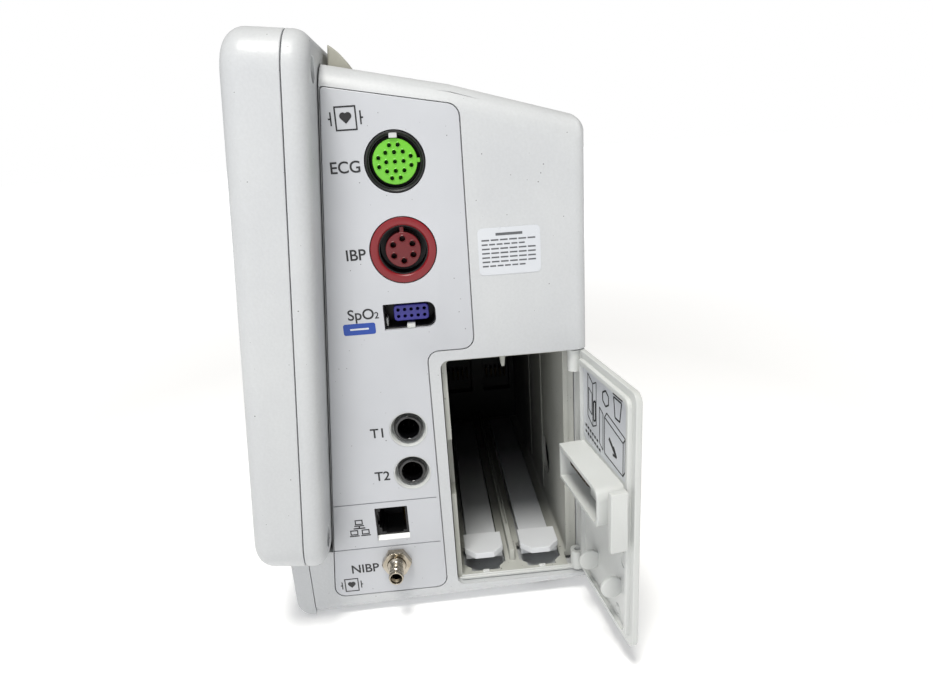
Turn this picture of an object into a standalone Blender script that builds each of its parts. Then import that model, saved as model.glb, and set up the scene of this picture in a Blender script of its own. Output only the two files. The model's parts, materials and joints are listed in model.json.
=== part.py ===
"""Bedside patient monitor: a tilted display module on a deep chassis with a twin battery bay.

The screen faces -Y, the patient connectors are on the +X side and +Z is up. Everything is built in
the chassis frame, whose X = 0 is the middle of the chassis and Z = 0 the surface it stands on, and
a root empty moves that frame so that the world origin is the bottom centre of the whole object.
"""

import math

import bmesh
import bpy
from mathutils import Matrix, Vector

MM = 0.001
OBJECT_NAME = "patient_monitor"

# Clearances
GAP = 0.3 * MM  # between pieces that touch
SLIDE_GAP = 0.45 * MM  # round a piece that moves in a hole
PIN_GAP = 0.15 * MM  # radial, round a hinge pin or a shaft
OVERSHOOT = 5 * MM  # how far a cutter runs past what it cuts
WELD_DISTANCE = 0.03 * MM
LAP = 0.2 * MM  # how far joined shapes run into each other where their faces would meet flush

# Chassis
CHASSIS_WIDTH = 204 * MM
CHASSIS_REAR_Y = 54.5 * MM
SEAM_Y = -54.4 * MM  # joint between rear housing and lower front cover
CHIN_DEPTH = 6.9 * MM
FOOT_HEIGHT = 2 * MM
BOTTOM_RISE = 3.2 * MM  # the floor rises this much from front to rear
TOP_FRONT_Z = 201.5 * MM
TOP_MIDDLE_Y = 12 * MM
TOP_MIDDLE_Z = 193.3 * MM
TOP_REAR_Z = 181.1 * MM
WALL = 2.6 * MM
TOP_FILLET = 9 * MM
REAR_FILLET = 4 * MM
CHIN_FILLET = 8 * MM

# Display module
DISPLAY_WIDTH = 240 * MM
DISPLAY_HEIGHT = 180 * MM
DISPLAY_DEPTH = 25.4 * MM
DISPLAY_REAR_DEPTH = 7.4 * MM
DISPLAY_TILT = math.radians(5.7)
DISPLAY_BACK_Y = -36.15 * MM  # back plane at the module's mid height
DISPLAY_CENTRE_Z = 119.9 * MM
DISPLAY_CORNER = 13 * MM
DISPLAY_FRONT_FILLET = 7 * MM
DISPLAY_BACK_FILLET = 5 * MM
DISPLAY_WALL = 2.5 * MM
DISPLAY_GAP = 0.5 * MM  # between the housing's front and the display's back
CHIN_CLEARANCE = 0.8 * MM

# Screen, keys and knob, in the display's own frame
SCREEN_WIDTH = 171 * MM
SCREEN_HEIGHT = 128.5 * MM
SCREEN_X = 13 * MM
SCREEN_Z = 5 * MM
SCREEN_CORNER = 2 * MM
WINDOW_LAP = 4 * MM
WINDOW_THICKNESS = 2 * MM
LCD_LAP = 6.5 * MM
LCD_THICKNESS = 7 * MM
BRACKET_THICKNESS = 1.2 * MM
KEY_WIDTH = 24 * MM
KEY_HEIGHT = 12 * MM
KEY_CORNER = 3 * MM
KEY_PROUD = 1.2 * MM
KEY_PITCH = 18 * MM
KEY_COLUMN_X = -97 * MM
KEY_TOP_Z = 60 * MM
KEY_TRAVEL = 0.8 * MM
KEY_FLANGE = 1.2 * MM
KEY_EDGE = 0.7 * MM
KEY_NAMES = (
    "alarm_silence_key",
    "alarm_pause_key",
    "nibp_start_key",
    "freeze_key",
    "menu_key",
)
POWER_KEY_RADIUS = 5.5 * MM
POWER_KEY_X = 98 * MM
POWER_KEY_Z = -74 * MM
KNOB_RADIUS = 15 * MM
KNOB_HEIGHT = 13 * MM
KNOB_Z = -56 * MM
KNOB_LIFT = 1.2 * MM
KNOB_EDGE = 1.5 * MM
KNOB_BLIND = 7 * MM  # how far the shaft goes into the knob
SHAFT_REACH = 2 * MM  # the shaft's and the plunger's reach behind the key board
ENCODER_HALF = 7 * MM
SHAFT_RADIUS = 3 * MM
SHAFT_HOLE_RADIUS = 5 * MM
LAMP_WIDTH = 84 * MM
LAMP_HEIGHT = 6 * MM
LAMP_Z = 77 * MM
LAMP_CORNER = 2 * MM
LAMP_EDGE = 0.6 * MM
BOSS_RADIUS = 4.8 * MM
BOSS_INSET = 11 * MM
SCREW_HEAD_RADIUS = 3 * MM
SCREW_SHANK_RADIUS = 1.4 * MM
SCREW_RECESS_RADIUS = 3.75 * MM
SCREW_RECESS_DEPTH = 4 * MM
SCREW_HEAD_HEIGHT = 2 * MM
SCREW_SHANK_LENGTH = 8.2 * MM
SCREW_HOLE_LENGTH = 12 * MM
BEZEL_HOLE_DEPTH = 14 * MM
CABLE_WINDOW_HEIGHT = 97 * MM
CABLE_WINDOW_CORNER = 4 * MM
CABLE_WINDOW_Z = -19.5 * MM

# Carrying handle and the hand well behind the display
WELL_SIDE = 14 * MM  # from the side face to the well
WELL_REAR_Y = 17 * MM
WELL_DEPTH = 34 * MM
HANDLE_CHEEK = 12 * MM
HANDLE_RADIUS = 19 * MM
HANDLE_CENTRE_Y = -36 * MM
HANDLE_CENTRE_Z = 192 * MM
HANDLE_EDGE = 1.2 * MM
HANDLE_DROP = 3 * MM  # the grip's underside, below the middle of its round back

# Connector panel on the +X side; heights above the standing surface
PANEL_THICKNESS = 1.6 * MM
WINDOW_REACH = 10.4 * MM
PANEL_TOP_FRONT_Z = 194.4 * MM
PANEL_TOP_REAR_Z = 186.6 * MM
PANEL_UPPER_REAR_Y = 14.2 * MM
PANEL_LOWER_REAR_Y = -2.4 * MM
PANEL_STEP_Z = 106.7 * MM
PANEL_BOTTOM_Z = 9.2 * MM
PANEL_CORNER = 4 * MM
PANEL_FRONT_MARGIN = 0.6 * MM
PANEL_LEDGE = 3 * MM  # width of the ledge that the panel rests on

# Patient connectors: Y and Z of each centre
ECG_CENTRE = (-7.2 * MM, 170.9 * MM)
ECG_RADIUS = 9.5 * MM
ECG_INSERT_RADIUS = 7.15 * MM
ECG_WALL = 0.9 * MM
IBP_CENTRE = (-7.2 * MM, 142.6 * MM)
IBP_RADIUS = 10.9 * MM
IBP_BORE_RADIUS = 8.2 * MM
IBP_INSERT_RADIUS = 5.85 * MM
SOCKET_DEPTH = 10.6 * MM
SOCKET_FLOOR = 2 * MM
INSERT_RECESS = 1 * MM
SPO2_CENTRE = (-7.1 * MM, 120.1 * MM)
SPO2_SIZE = (17.8 * MM, 9.1 * MM)
SPO2_INSERT_SIZE = (11.6 * MM, 5.4 * MM)
SPO2_INSERT_SHIFT = 0.6 * MM
SPO2_DEPTH = 12 * MM
TEMP_CENTRES = ((-11.5 * MM, 77.7 * MM), (-11.6 * MM, 60.3 * MM))
TEMP_RECESS_RADIUS = 6.95 * MM
TEMP_JACK_RADIUS = 5.2 * MM
TEMP_BORE_RADIUS = 3.3 * MM
TEMP_JACK_LENGTH = 24 * MM
NETWORK_CENTRE = (-21.1 * MM, 39.6 * MM)
NETWORK_SIZE = (12.3 * MM, 14.1 * MM)
NETWORK_DEPTH = 16 * MM
NETWORK_WALL = 1 * MM
NIBP_CENTRE = (-20.9 * MM, 23.3 * MM)
NIBP_NUT_ACROSS = 10 * MM
NIBP_NUT_THICKNESS = 3 * MM
NIBP_REACH = 11.5 * MM
NIBP_TIP_RADIUS = 2.8 * MM
NIBP_THREAD_RADIUS = 3.4 * MM
NIBP_BORE_RADIUS = 1.6 * MM
NIBP_THREAD_LENGTH = 12 * MM  # inward from the side face

# Battery bay and its door
BAY_FRONT_Y = 4 * MM
BAY_REAR_Y = 47.5 * MM
BAY_BOTTOM_Z = 11.3 * MM
BAY_TOP_Z = 101.6 * MM
BAY_LENGTH = 160 * MM
BAY_WALL = 1.8 * MM
DIVIDER_THICKNESS = 2 * MM
DIVIDER_HEIGHT = 5 * MM
DIVIDER_SETBACK = 9 * MM  # from the side face
TOP_RIB_X = (12 * MM, 8 * MM)  # from the side face
TOP_RIB_HALF = 1.2 * MM
TOP_RIB_DROP = 5.5 * MM
CATCH_SLOT_DEPTH = 12 * MM
DOOR_FRONT_Y = 1.9 * MM
DOOR_BOTTOM_Z = 9 * MM
DOOR_TOP_Z = 102.8 * MM
DOOR_THICKNESS = 2.2 * MM
DOOR_OPEN = math.radians(97.4)
DOOR_CORNER = 3.5 * MM
DOOR_EDGE_GAP = 0.5 * MM
DOOR_RIM_INSET = 2.6 * MM
DOOR_RIM_HEIGHT = 1.4 * MM
HINGE_DEPTH = 3.5 * MM  # hinge axis below the side face
HINGE_Y = 50.4 * MM
HINGE_RECESS = 11 * MM
KNUCKLE_RADIUS = 2.6 * MM
KNUCKLE_LENGTH = 8 * MM
HINGE_PIN_RADIUS = 1 * MM
HINGE_PIN_REACH = 4 * MM  # into the housing's lug
SHELF_DEPTH = 9.5 * MM
SHELF_THICKNESS = 1.4 * MM
SHELF_UPPER_Z = 68 * MM
SHELF_LOWER_Z = 54 * MM
SHELF_START = 5 * MM
SHELF_END = 41.5 * MM
LATCH_TRAVEL = 3 * MM
LATCH_BAR_HEIGHT = 5 * MM  # from the door's inner face to the top of the bar
LATCH_BAR_MARGIN = 0.8 * MM
LATCH_BLOCK_HEIGHT = 21 * MM
LATCH_BLOCK_Z = 59.5 * MM
LATCH_STRIKE_GAP = 0.4 * MM
LATCH_BLOCK_DEPTH = 3 * MM  # along the door
LATCH_BLOCK_RISE = 7.6 * MM  # from the door's inner face to the thumb face
LATCH_HOOK_SHARE = 0.45  # height of the hook over the height of the block
FIN_RADIUS = 4 * MM
FIN_THICKNESS = 1.4 * MM
FIN_PLACES = ((-18 * MM, 25.5 * MM), (-38 * MM, 28.5 * MM))
SPRING_RADIUS = 1.9 * MM
SPRING_WIRE = 0.35 * MM
SPRING_TURNS = 9
SPRING_END = 24 * MM
CATCH_WIDTH = 12.5 * MM
CATCH_THICKNESS = 1.4 * MM
CATCH_LENGTH = 137 * MM
CATCH_LIFT = 1.4 * MM  # underside of the tongue above the bay floor
CATCH_TAB = (14 * MM, 15.4 * MM)
CATCH_TAB_RISE = 2.4 * MM
CATCH_MOUTH = 6 * MM  # from the side face to the tab's end
CONTACT_DEPTH = 8 * MM
CONTACT_FLOOR = 2 * MM
CONTACT_WINDOW = (16 * MM, 18 * MM, 40 * MM)  # width, lower and upper edge
CONTACT_BLADES = (12 * MM, 26 * MM, 32 * MM)  # width, lower and upper edge
EJECT_HOLE_RADIUS = 9 * MM
EJECT_HOLE_X = 53 * MM  # from the side face
EJECT_HOLE_Z = 35 * MM

# Rear face and inside
FOOT_RADIUS = 8 * MM
FOOT_INSET_X = 16 * MM
FOOT_FRONT_Y = -40 * MM
FOOT_REAR_Y = 38 * MM
INLET_X = -58 * MM
INLET_Z = 140 * MM
INLET_SIZE = (27.2 * MM, 20 * MM)
INLET_DEPTH = 17 * MM
INLET_WALL = 2 * MM
STUD_X = -20 * MM
STUD_RADIUS = 3 * MM
STUD_REACH = 9 * MM
STUD_LENGTH = 16 * MM
SPEAKER_RADIUS = 20 * MM
SPEAKER_Y = 5 * MM
SPEAKER_Z = 132 * MM
GRILLE_HALF = 13 * MM
VENT_DROP = 30 * MM  # from the inlet's middle to the first vent
VENT_PITCH = 6 * MM
VENT_HALF = 22 * MM
VENT_WIDTH = 2.4 * MM
BOARD_THICKNESS = 1.6 * MM
BOARD_MARGIN = 2 * MM  # from a board's edge to the wall beside it
MAIN_BOARD_DEPTH = 9 * MM  # behind the display's back plane
MAIN_BOARD_MARGIN = 14 * MM  # from its ends to the side faces
MAIN_BOARD_LOW = -63.5 * MM
PARAMETER_BOARD_Y = (-22 * MM, 12 * MM)
SUPPLY_X = (-30 * MM, 70 * MM)
SUPPLY_Y = (14 * MM, 48 * MM)
SUPPLY_RISE = (3 * MM, 33 * MM)  # above the bay
PUMP_RADIUS = 13 * MM
PUMP_LENGTH = 52 * MM
PUMP_X = -20 * MM
PUMP_Y = -7 * MM
PUMP_RISE = 5 * MM  # above the bay
VALVE_GAP = 2 * MM
VALVE_SIZE = (20 * MM, 27 * MM, 24 * MM)
HOSE_RADIUS = 2.4 * MM
HOSE_POINTS = 14
HOSE_GAP = 0.8 * MM

# Worked out from the sizes above
HALF_WIDTH = CHASSIS_WIDTH / 2
WELL_HALF_WIDTH = HALF_WIDTH - WELL_SIDE
HINGE_X = HALF_WIDTH - HINGE_DEPTH
DOOR_REACH = HINGE_Y - DOOR_FRONT_Y - DOOR_EDGE_GAP
DOOR_TAIL = CHASSIS_REAR_Y - HINGE_Y - GAP
BAY_MOUTH_X = HALF_WIDTH - WALL - GAP
BAY_END_X = HALF_WIDTH - BAY_LENGTH
CATCH_MIDDLES = (
    BAY_FRONT_Y + (BAY_REAR_Y - BAY_FRONT_Y) * 0.22,
    BAY_FRONT_Y + (BAY_REAR_Y - BAY_FRONT_Y) * 0.74,
)
DIVIDER_Y = BAY_FRONT_Y + (BAY_REAR_Y - BAY_FRONT_Y) * 0.48
CATCH_PIVOT_X = HALF_WIDTH - CATCH_MOUTH - CATCH_LENGTH
CATCH_PIVOT_Z = BAY_BOTTOM_Z + CATCH_LIFT + CATCH_THICKNESS / 2
TIP_X = HINGE_X + DOOR_REACH * math.sin(DOOR_OPEN)
TIP_Y = HINGE_Y - DOOR_REACH * math.cos(DOOR_OPEN) + HINGE_DEPTH * math.sin(DOOR_OPEN)
KNOB_FRONT_Y = (
    DISPLAY_BACK_Y
    - (DISPLAY_DEPTH + KNOB_LIFT + KNOB_HEIGHT) * math.cos(DISPLAY_TILT)
    + (KNOB_Z - KNOB_RADIUS) * math.sin(DISPLAY_TILT)
)
STUD_END_Y = CHASSIS_REAR_Y + STUD_REACH
CENTRE_X = (TIP_X - DISPLAY_WIDTH / 2) / 2
CENTRE_Y = (STUD_END_Y + KNOB_FRONT_Y) / 2

COLOURS = {
    "housing_abs": ((0.72, 0.73, 0.74), 0.55, 0.0),
    "black_nylon": ((0.02, 0.02, 0.02), 0.45, 0.0),
    "green_nylon": ((0.2, 0.55, 0.08), 0.4, 0.0),
    "red_nylon": ((0.3, 0.02, 0.03), 0.4, 0.0),
    "violet_nylon": ((0.08, 0.05, 0.3), 0.4, 0.0),
    "grey_rubber": ((0.12, 0.12, 0.13), 0.85, 0.0),
    "key_rubber": ((0.35, 0.38, 0.42), 0.7, 0.0),
    "screen_glass": ((0.02, 0.025, 0.03), 0.08, 0.0),
    "lamp_lens": ((0.75, 0.3, 0.1), 0.2, 0.0),
    "nickel": ((0.62, 0.58, 0.52), 0.3, 1.0),
    "steel": ((0.55, 0.56, 0.58), 0.35, 1.0),
    "spring_steel": ((0.12, 0.11, 0.1), 0.4, 1.0),
    "circuit_board": ((0.03, 0.2, 0.08), 0.5, 0.0),
    "hose_silicone": ((0.75, 0.75, 0.72), 0.5, 0.0),
}


# ---------------------------------------------------------------- scene and helpers


def clear_scene():
    """Removes what the start-up file holds."""
    for obj in list(bpy.data.objects):
        bpy.data.objects.remove(obj, do_unlink=True)


def make_collection(name):
    collection = bpy.data.collections.new(name)
    bpy.context.scene.collection.children.link(collection)
    return collection


def make_material(name):
    colour, roughness, metallic = COLOURS[name]
    found = bpy.data.materials.new(name)
    found.use_nodes = True
    shader = found.node_tree.nodes["Principled BSDF"]
    shader.inputs["Base Color"].default_value = (*colour, 1)
    shader.inputs["Roughness"].default_value = roughness
    shader.inputs["Metallic"].default_value = metallic
    return found


def make_empty(name, location, parent=None, rotation=(0, 0, 0)):
    empty = bpy.data.objects.new(name, None)
    empty.empty_display_size = 0.01
    empty.location = location
    empty.rotation_euler = rotation
    empty.parent = parent
    PARTS.objects.link(empty)
    return empty


def new_object(name, mesh, parent, location=(0, 0, 0)):
    """A mesh object in the collection of cutters; finish() moves a part out of it."""
    obj = bpy.data.objects.new(name, mesh)
    obj.location = location
    obj.parent = parent
    obj.hide_render = True
    obj.display_type = "WIRE"
    CUTTERS.objects.link(obj)
    return obj


def mesh_from(bm, name):
    """Ends a bmesh as a mesh whose faces point outwards."""
    bmesh.ops.recalc_face_normals(bm, faces=bm.faces)
    if bm.calc_volume(signed=True) < 0:
        bmesh.ops.reverse_faces(bm, faces=bm.faces)
    mesh = bpy.data.meshes.new(name)
    bm.to_mesh(mesh)
    bm.free()
    return mesh


def box(name, low, high, parent):
    """A box between two corners in its parent's frame, placed by its location."""
    low, high = Vector(low), Vector(high)
    bm = bmesh.new()
    bmesh.ops.create_cube(bm, size=1, matrix=Matrix.Diagonal((*(high - low), 1)))
    return new_object(name, mesh_from(bm, name), parent, (low + high) / 2)


def boxes(name, corners, parent):
    """Several separate boxes as one mesh, for a cutter that cuts them all."""
    bm = bmesh.new()
    for low, high in corners:
        low, high = Vector(low), Vector(high)
        place = Matrix.Translation((low + high) / 2) @ Matrix.Diagonal((*(high - low), 1))
        bmesh.ops.create_cube(bm, size=1, matrix=place)
    return new_object(name, mesh_from(bm, name), parent)


def turn_to(axis):
    """Rotation that takes +Z to the axis."""
    return Vector((0, 0, 1)).rotation_difference(Vector(axis)).to_matrix().to_4x4()


def rod(name, centre, radius, length, axis, parent, sides=24, end_radius=None):
    """A cylinder or cone about an axis, centred on a point."""
    bm = bmesh.new()
    bmesh.ops.create_cone(
        bm,
        cap_ends=True,
        segments=sides,
        radius1=radius,
        radius2=radius if end_radius is None else end_radius,
        depth=length,
        matrix=turn_to(axis),
    )
    return new_object(name, mesh_from(bm, name), parent, centre)


def rods(name, places, radius, length, axis, parent, sides=16):
    """Several equal cylinders as one mesh, for a cutter that cuts them all."""
    bm = bmesh.new()
    for place in places:
        bmesh.ops.create_cone(
            bm,
            cap_ends=True,
            segments=sides,
            radius1=radius,
            radius2=radius,
            depth=length,
            matrix=Matrix.Translation(place) @ turn_to(axis),
        )
    return new_object(name, mesh_from(bm, name), parent)


def turned(name, profile, centre, axis, parent, steps=32):
    """A closed ring profile of (radius, height) points turned about an axis with a Screw modifier."""
    bm = bmesh.new()
    points = [bm.verts.new((radius, 0, height)) for radius, height in profile]
    for i, point in enumerate(points):
        bm.edges.new((point, points[(i + 1) % len(points)]))
    mesh = bpy.data.meshes.new(name)
    bm.to_mesh(mesh)
    bm.free()
    obj = new_object(name, mesh, parent, centre)
    obj.rotation_euler = turn_to(axis).to_euler()
    screw = obj.modifiers.new("turn", "SCREW")
    screw.steps = steps
    screw.render_steps = steps
    screw.use_merge_vertices = True
    screw.merge_threshold = 0.00001
    return obj


def rounded(points, steps=4):
    """The outline of (x, y, radius) corners, each turned into an arc where its radius isn't 0."""
    outline = []
    for i, (x, y, radius) in enumerate(points):
        corner = Vector((x, y))
        if radius == 0:
            outline.append(corner)
            continue
        before = (Vector(points[i - 1][:2]) - corner).normalized()
        after = (Vector(points[(i + 1) % len(points)][:2]) - corner).normalized()
        half = before.angle(after) / 2
        centre = corner + (before + after).normalized() * radius / math.sin(half)
        start = corner + before * radius / math.tan(half) - centre
        end = corner + after * radius / math.tan(half) - centre
        sweep = start.angle_signed(end)
        for step in range(steps + 1):
            turn = Matrix.Rotation(-sweep * step / steps, 2)
            outline.append(centre + turn @ start)
    return outline


def plate(name, outline, thickness, parent, face="XY", location=(0, 0, 0)):
    """A flat outline given its thickness: an extruded 2D curve turned into a mesh.

    face names the two axes of the outline: XY, XZ or YZ. The plate is centred on the outline's plane.
    """
    curve = bpy.data.curves.new(name, "CURVE")
    curve.dimensions = "2D"
    curve.fill_mode = "BOTH"
    curve.extrude = thickness / 2
    spline = curve.splines.new("POLY")
    spline.points.add(len(outline) - 1)
    for point, place in zip(spline.points, outline):
        point.co = (place[0], place[1], 0, 1)
    spline.use_cyclic_u = True
    drawn = bpy.data.objects.new(name + "_outline", curve)
    CUTTERS.objects.link(drawn)
    bpy.context.view_layer.update()
    graph = bpy.context.evaluated_depsgraph_get()
    flat = bpy.data.meshes.new_from_object(drawn.evaluated_get(graph))
    bpy.data.objects.remove(drawn, do_unlink=True)
    bm = bmesh.new()
    bm.from_mesh(flat)
    bmesh.ops.remove_doubles(bm, verts=bm.verts, dist=0.00001)
    bmesh.ops.dissolve_limit(
        bm, angle_limit=0.001, verts=bm.verts, edges=bm.edges, delimit={"NORMAL"}
    )
    axes = {"XY": (0, 1, 2), "XZ": (0, 2, 1), "YZ": (1, 2, 0)}[face]
    turn = Matrix.Identity(4)
    for column, axis in enumerate(axes):
        turn.col[column] = [1.0 if row == axis else 0.0 for row in range(4)]
    bm.transform(turn)
    return new_object(name, mesh_from(bm, name), parent, location)


def rectangle(width, height, radius, centre=(0, 0), steps=4):
    """Rounded rectangle outline."""
    x, y = centre
    corners = [(-1, -1), (1, -1), (1, 1), (-1, 1)]
    return rounded([(x + sx * width / 2, y + sy * height / 2, radius) for sx, sy in corners], steps)


def cut(obj, cutter, operation="DIFFERENCE"):
    """Adds a Boolean modifier; a union's second solid is kept as a hidden guide."""
    modifier = obj.modifiers.new(cutter.name, "BOOLEAN")
    modifier.operation = operation
    modifier.object = cutter
    return obj


def join(obj, other):
    return cut(obj, other, "UNION")


def bevel(obj, width, segments=3, weighted=False, angle=math.radians(40)):
    modifier = obj.modifiers.new("edges", "BEVEL")
    modifier.width = width
    modifier.segments = segments
    modifier.limit_method = "WEIGHT" if weighted else "ANGLE"
    modifier.angle_limit = angle
    return obj


def weigh_edges(obj, weight_of):
    """Gives each edge the bevel weight that weight_of returns for its middle."""
    mesh = obj.data
    layer = mesh.attributes.new("bevel_weight_edge", "FLOAT", "EDGE")
    for edge in mesh.edges:
        a, b = (mesh.vertices[i].co for i in edge.vertices)
        layer.data[edge.index].value = weight_of((a + b) / 2)
    return obj


def baked(obj, keep_face=None):
    """Replaces an object's mesh by its evaluated mesh, without the faces that keep_face refuses."""
    bpy.context.view_layer.update()
    graph = bpy.context.evaluated_depsgraph_get()
    mesh = bpy.data.meshes.new_from_object(obj.evaluated_get(graph))
    obj.modifiers.clear()
    obj.data = mesh
    if keep_face:
        bm = bmesh.new()
        bm.from_mesh(mesh)
        bmesh.ops.remove_doubles(bm, verts=bm.verts, dist=0.00001)
        dropped = [face for face in bm.faces if not keep_face(face)]
        bmesh.ops.delete(bm, geom=dropped, context="FACES")
        bm.to_mesh(mesh)
        bm.free()
    return obj


def hollow(obj, thickness):
    modifier = obj.modifiers.new("wall", "SOLIDIFY")
    modifier.thickness = thickness
    modifier.offset = -1
    modifier.use_even_offset = True
    return obj


def weld(obj):
    """Merges the points that Booleans leave closer together than any real edge."""
    modifier = obj.modifiers.new("weld", "WELD")
    modifier.merge_threshold = WELD_DISTANCE
    return obj


def finish(obj, material):
    """Moves a part into the object's own collection, gives it its material and shades it."""
    CUTTERS.objects.unlink(obj)
    PARTS.objects.link(obj)
    obj.hide_render = False
    obj.display_type = "TEXTURED"
    obj.data.materials.clear()
    obj.data.materials.append(MATERIALS[material])
    obj.data.shade_smooth()
    obj.data.set_sharp_from_angle(angle=math.radians(35))
    return obj


# ---------------------------------------------------------------- shared places


def display_y(z):
    """Y of the display's back plane at a height."""
    return DISPLAY_BACK_Y + (z - DISPLAY_CENTRE_Z) * math.tan(DISPLAY_TILT)


def under_display_z(y, clearance):
    """Height of a plane that far below the display's tilted underside."""
    drop = DISPLAY_HEIGHT / 2 + clearance
    foot_y = DISPLAY_BACK_Y - drop * math.sin(DISPLAY_TILT)
    foot_z = DISPLAY_CENTRE_Z - drop * math.cos(DISPLAY_TILT)
    return foot_z + (foot_y - y) * math.tan(DISPLAY_TILT)


def bottom_z(y):
    """Height of the chassis floor, which rises a little towards the rear."""
    share = (y - SEAM_Y) / (CHASSIS_REAR_Y - SEAM_Y)
    return FOOT_HEIGHT + BOTTOM_RISE * share


def top_z(y):
    """Height of the chassis top at a depth, along its two straight stretches."""
    front = display_y(TOP_FRONT_Z)
    if y < TOP_MIDDLE_Y:
        share = (y - front) / (TOP_MIDDLE_Y - front)
        return TOP_FRONT_Z + (TOP_MIDDLE_Z - TOP_FRONT_Z) * share
    share = (y - TOP_MIDDLE_Y) / (CHASSIS_REAR_Y - TOP_MIDDLE_Y)
    return TOP_MIDDLE_Z + (TOP_REAR_Z - TOP_MIDDLE_Z) * share


def panel_outline(inset=0.0):
    """Outline of the connector panel in Y and Z, drawn in by an inset."""
    top, bottom = PANEL_TOP_FRONT_Z - inset, PANEL_BOTTOM_Z + inset
    front = GAP + PANEL_FRONT_MARGIN + inset
    corner = max(PANEL_CORNER - inset, 1 * MM)
    return rounded(
        [
            (display_y(top) + front, top, 1 * MM),
            (display_y(bottom) + front, bottom, corner),
            (PANEL_LOWER_REAR_Y - inset, bottom, corner),
            (PANEL_LOWER_REAR_Y - inset, PANEL_STEP_Z + inset, PANEL_CORNER + inset),
            (PANEL_UPPER_REAR_Y - inset, PANEL_STEP_Z + inset, corner),
            (PANEL_UPPER_REAR_Y - inset, PANEL_TOP_REAR_Z - inset, corner),
        ]
    )


# ---------------------------------------------------------------- chassis


def rear_housing_blank(parent):
    """The chassis as a solid block with its outer fillets, cut by the hand well."""
    seam_top = under_display_z(SEAM_Y, CHIN_CLEARANCE)
    corner_z = under_display_z(display_y(seam_top), CHIN_CLEARANCE)
    profile = [
        (SEAM_Y, bottom_z(SEAM_Y)),
        (CHASSIS_REAR_Y, bottom_z(CHASSIS_REAR_Y)),
        (CHASSIS_REAR_Y, TOP_REAR_Z),
        (TOP_MIDDLE_Y, TOP_MIDDLE_Z),
        (display_y(TOP_FRONT_Z) + DISPLAY_GAP, TOP_FRONT_Z),
        (display_y(corner_z) + DISPLAY_GAP, corner_z),
        (SEAM_Y, seam_top),
    ]
    block = plate("rear_housing", profile, CHASSIS_WIDTH, parent, "YZ")

    def weight(middle):
        on_side = abs(abs(middle.x) - HALF_WIDTH) < MM
        on_top = abs(middle.z - top_z(middle.y)) < MM
        at_rear = abs(middle.y - CHASSIS_REAR_Y) < MM
        at_bottom = abs(middle.z - bottom_z(middle.y)) < MM
        if on_side and on_top:
            return 1.0
        if at_rear and (on_side or at_bottom or on_top) or on_side and at_bottom:
            return REAR_FILLET / TOP_FILLET
        return 0.0

    weigh_edges(block, weight)
    bevel(block, TOP_FILLET, segments=4, weighted=True)
    well_bottom = top_z(WELL_REAR_Y) - WELL_DEPTH
    well = box(
        "hand_well",
        (-WELL_HALF_WIDTH, display_y(well_bottom) - OVERSHOOT * 3, well_bottom),
        (WELL_HALF_WIDTH, WELL_REAR_Y, TOP_FRONT_Z + OVERSHOOT),
        parent,
    )
    cut(block, well)
    return block


def rear_housing(parent):
    """The chassis shell with its openings for the panel, the battery door and the rear fittings."""
    tilt_normal = Vector((0, -math.cos(DISPLAY_TILT), math.sin(DISPLAY_TILT)))

    def stays(face):
        flat = face.normal.dot(tilt_normal) > 0.999 or face.normal.y < -0.999
        at_front = face.calc_center_median().y < display_y(TOP_FRONT_Z) + 2 * MM
        underside = face.normal.z > 0.9 and face.calc_center_median().z < DISPLAY_CENTRE_Z / 2
        return not (flat and at_front) and not underside

    shell = baked(rear_housing_blank(parent), stays)
    hollow(shell, WALL)
    for name, inset, depth in (
        ("panel_rebate", -GAP, PANEL_THICKNESS + GAP),
        ("panel_window", PANEL_LEDGE, WINDOW_REACH),
    ):
        outline = panel_outline(inset)
        cutter = plate(name, outline, 2 * depth, parent, "YZ", (HALF_WIDTH, 0, 0))
        cut(shell, cutter)
    lugs = boxes(
        "hinge_lugs",
        [
            ((HINGE_X - 3 * MM, HINGE_Y - 3 * MM, DOOR_TOP_Z - MM),
             (HALF_WIDTH - WALL / 2, CHASSIS_REAR_Y - WALL / 2, DOOR_TOP_Z + HINGE_PIN_REACH + MM)),
            ((HINGE_X - 3 * MM, HINGE_Y - 3 * MM, bottom_z(HINGE_Y) + WALL / 2),
             (HALF_WIDTH - WALL / 2, CHASSIS_REAR_Y - WALL / 2, DOOR_BOTTOM_Z + MM)),
        ],
        parent,
    )
    join(shell, lugs)
    opening = boxes(
        "door_opening",
        [
            ((HALF_WIDTH - 3 * WALL, DOOR_FRONT_Y, DOOR_BOTTOM_Z),
             (HALF_WIDTH + OVERSHOOT, CHASSIS_REAR_Y + OVERSHOOT, DOOR_TOP_Z)),
        ],
        parent,
    )
    cut(shell, opening)
    jamb = box(
        "jamb_cut",
        (HALF_WIDTH - HINGE_RECESS, CHASSIS_REAR_Y - 1.5 * WALL, DOOR_BOTTOM_Z),
        (HALF_WIDTH, CHASSIS_REAR_Y + OVERSHOOT, DOOR_TOP_Z),
        parent,
    )
    cut(shell, jamb)
    pin_hole = rod(
        "hinge_pin_holes",
        (HINGE_X, HINGE_Y, (DOOR_TOP_Z + DOOR_BOTTOM_Z) / 2),
        HINGE_PIN_RADIUS + PIN_GAP,
        DOOR_TOP_Z - DOOR_BOTTOM_Z + 2 * HINGE_PIN_REACH - 4.4 * MM,
        (0, 0, 1),
        parent,
        16,
    )
    cut(shell, pin_hole)
    rear_cuts(shell, parent)
    return finish(shell, "housing_abs")


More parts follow.
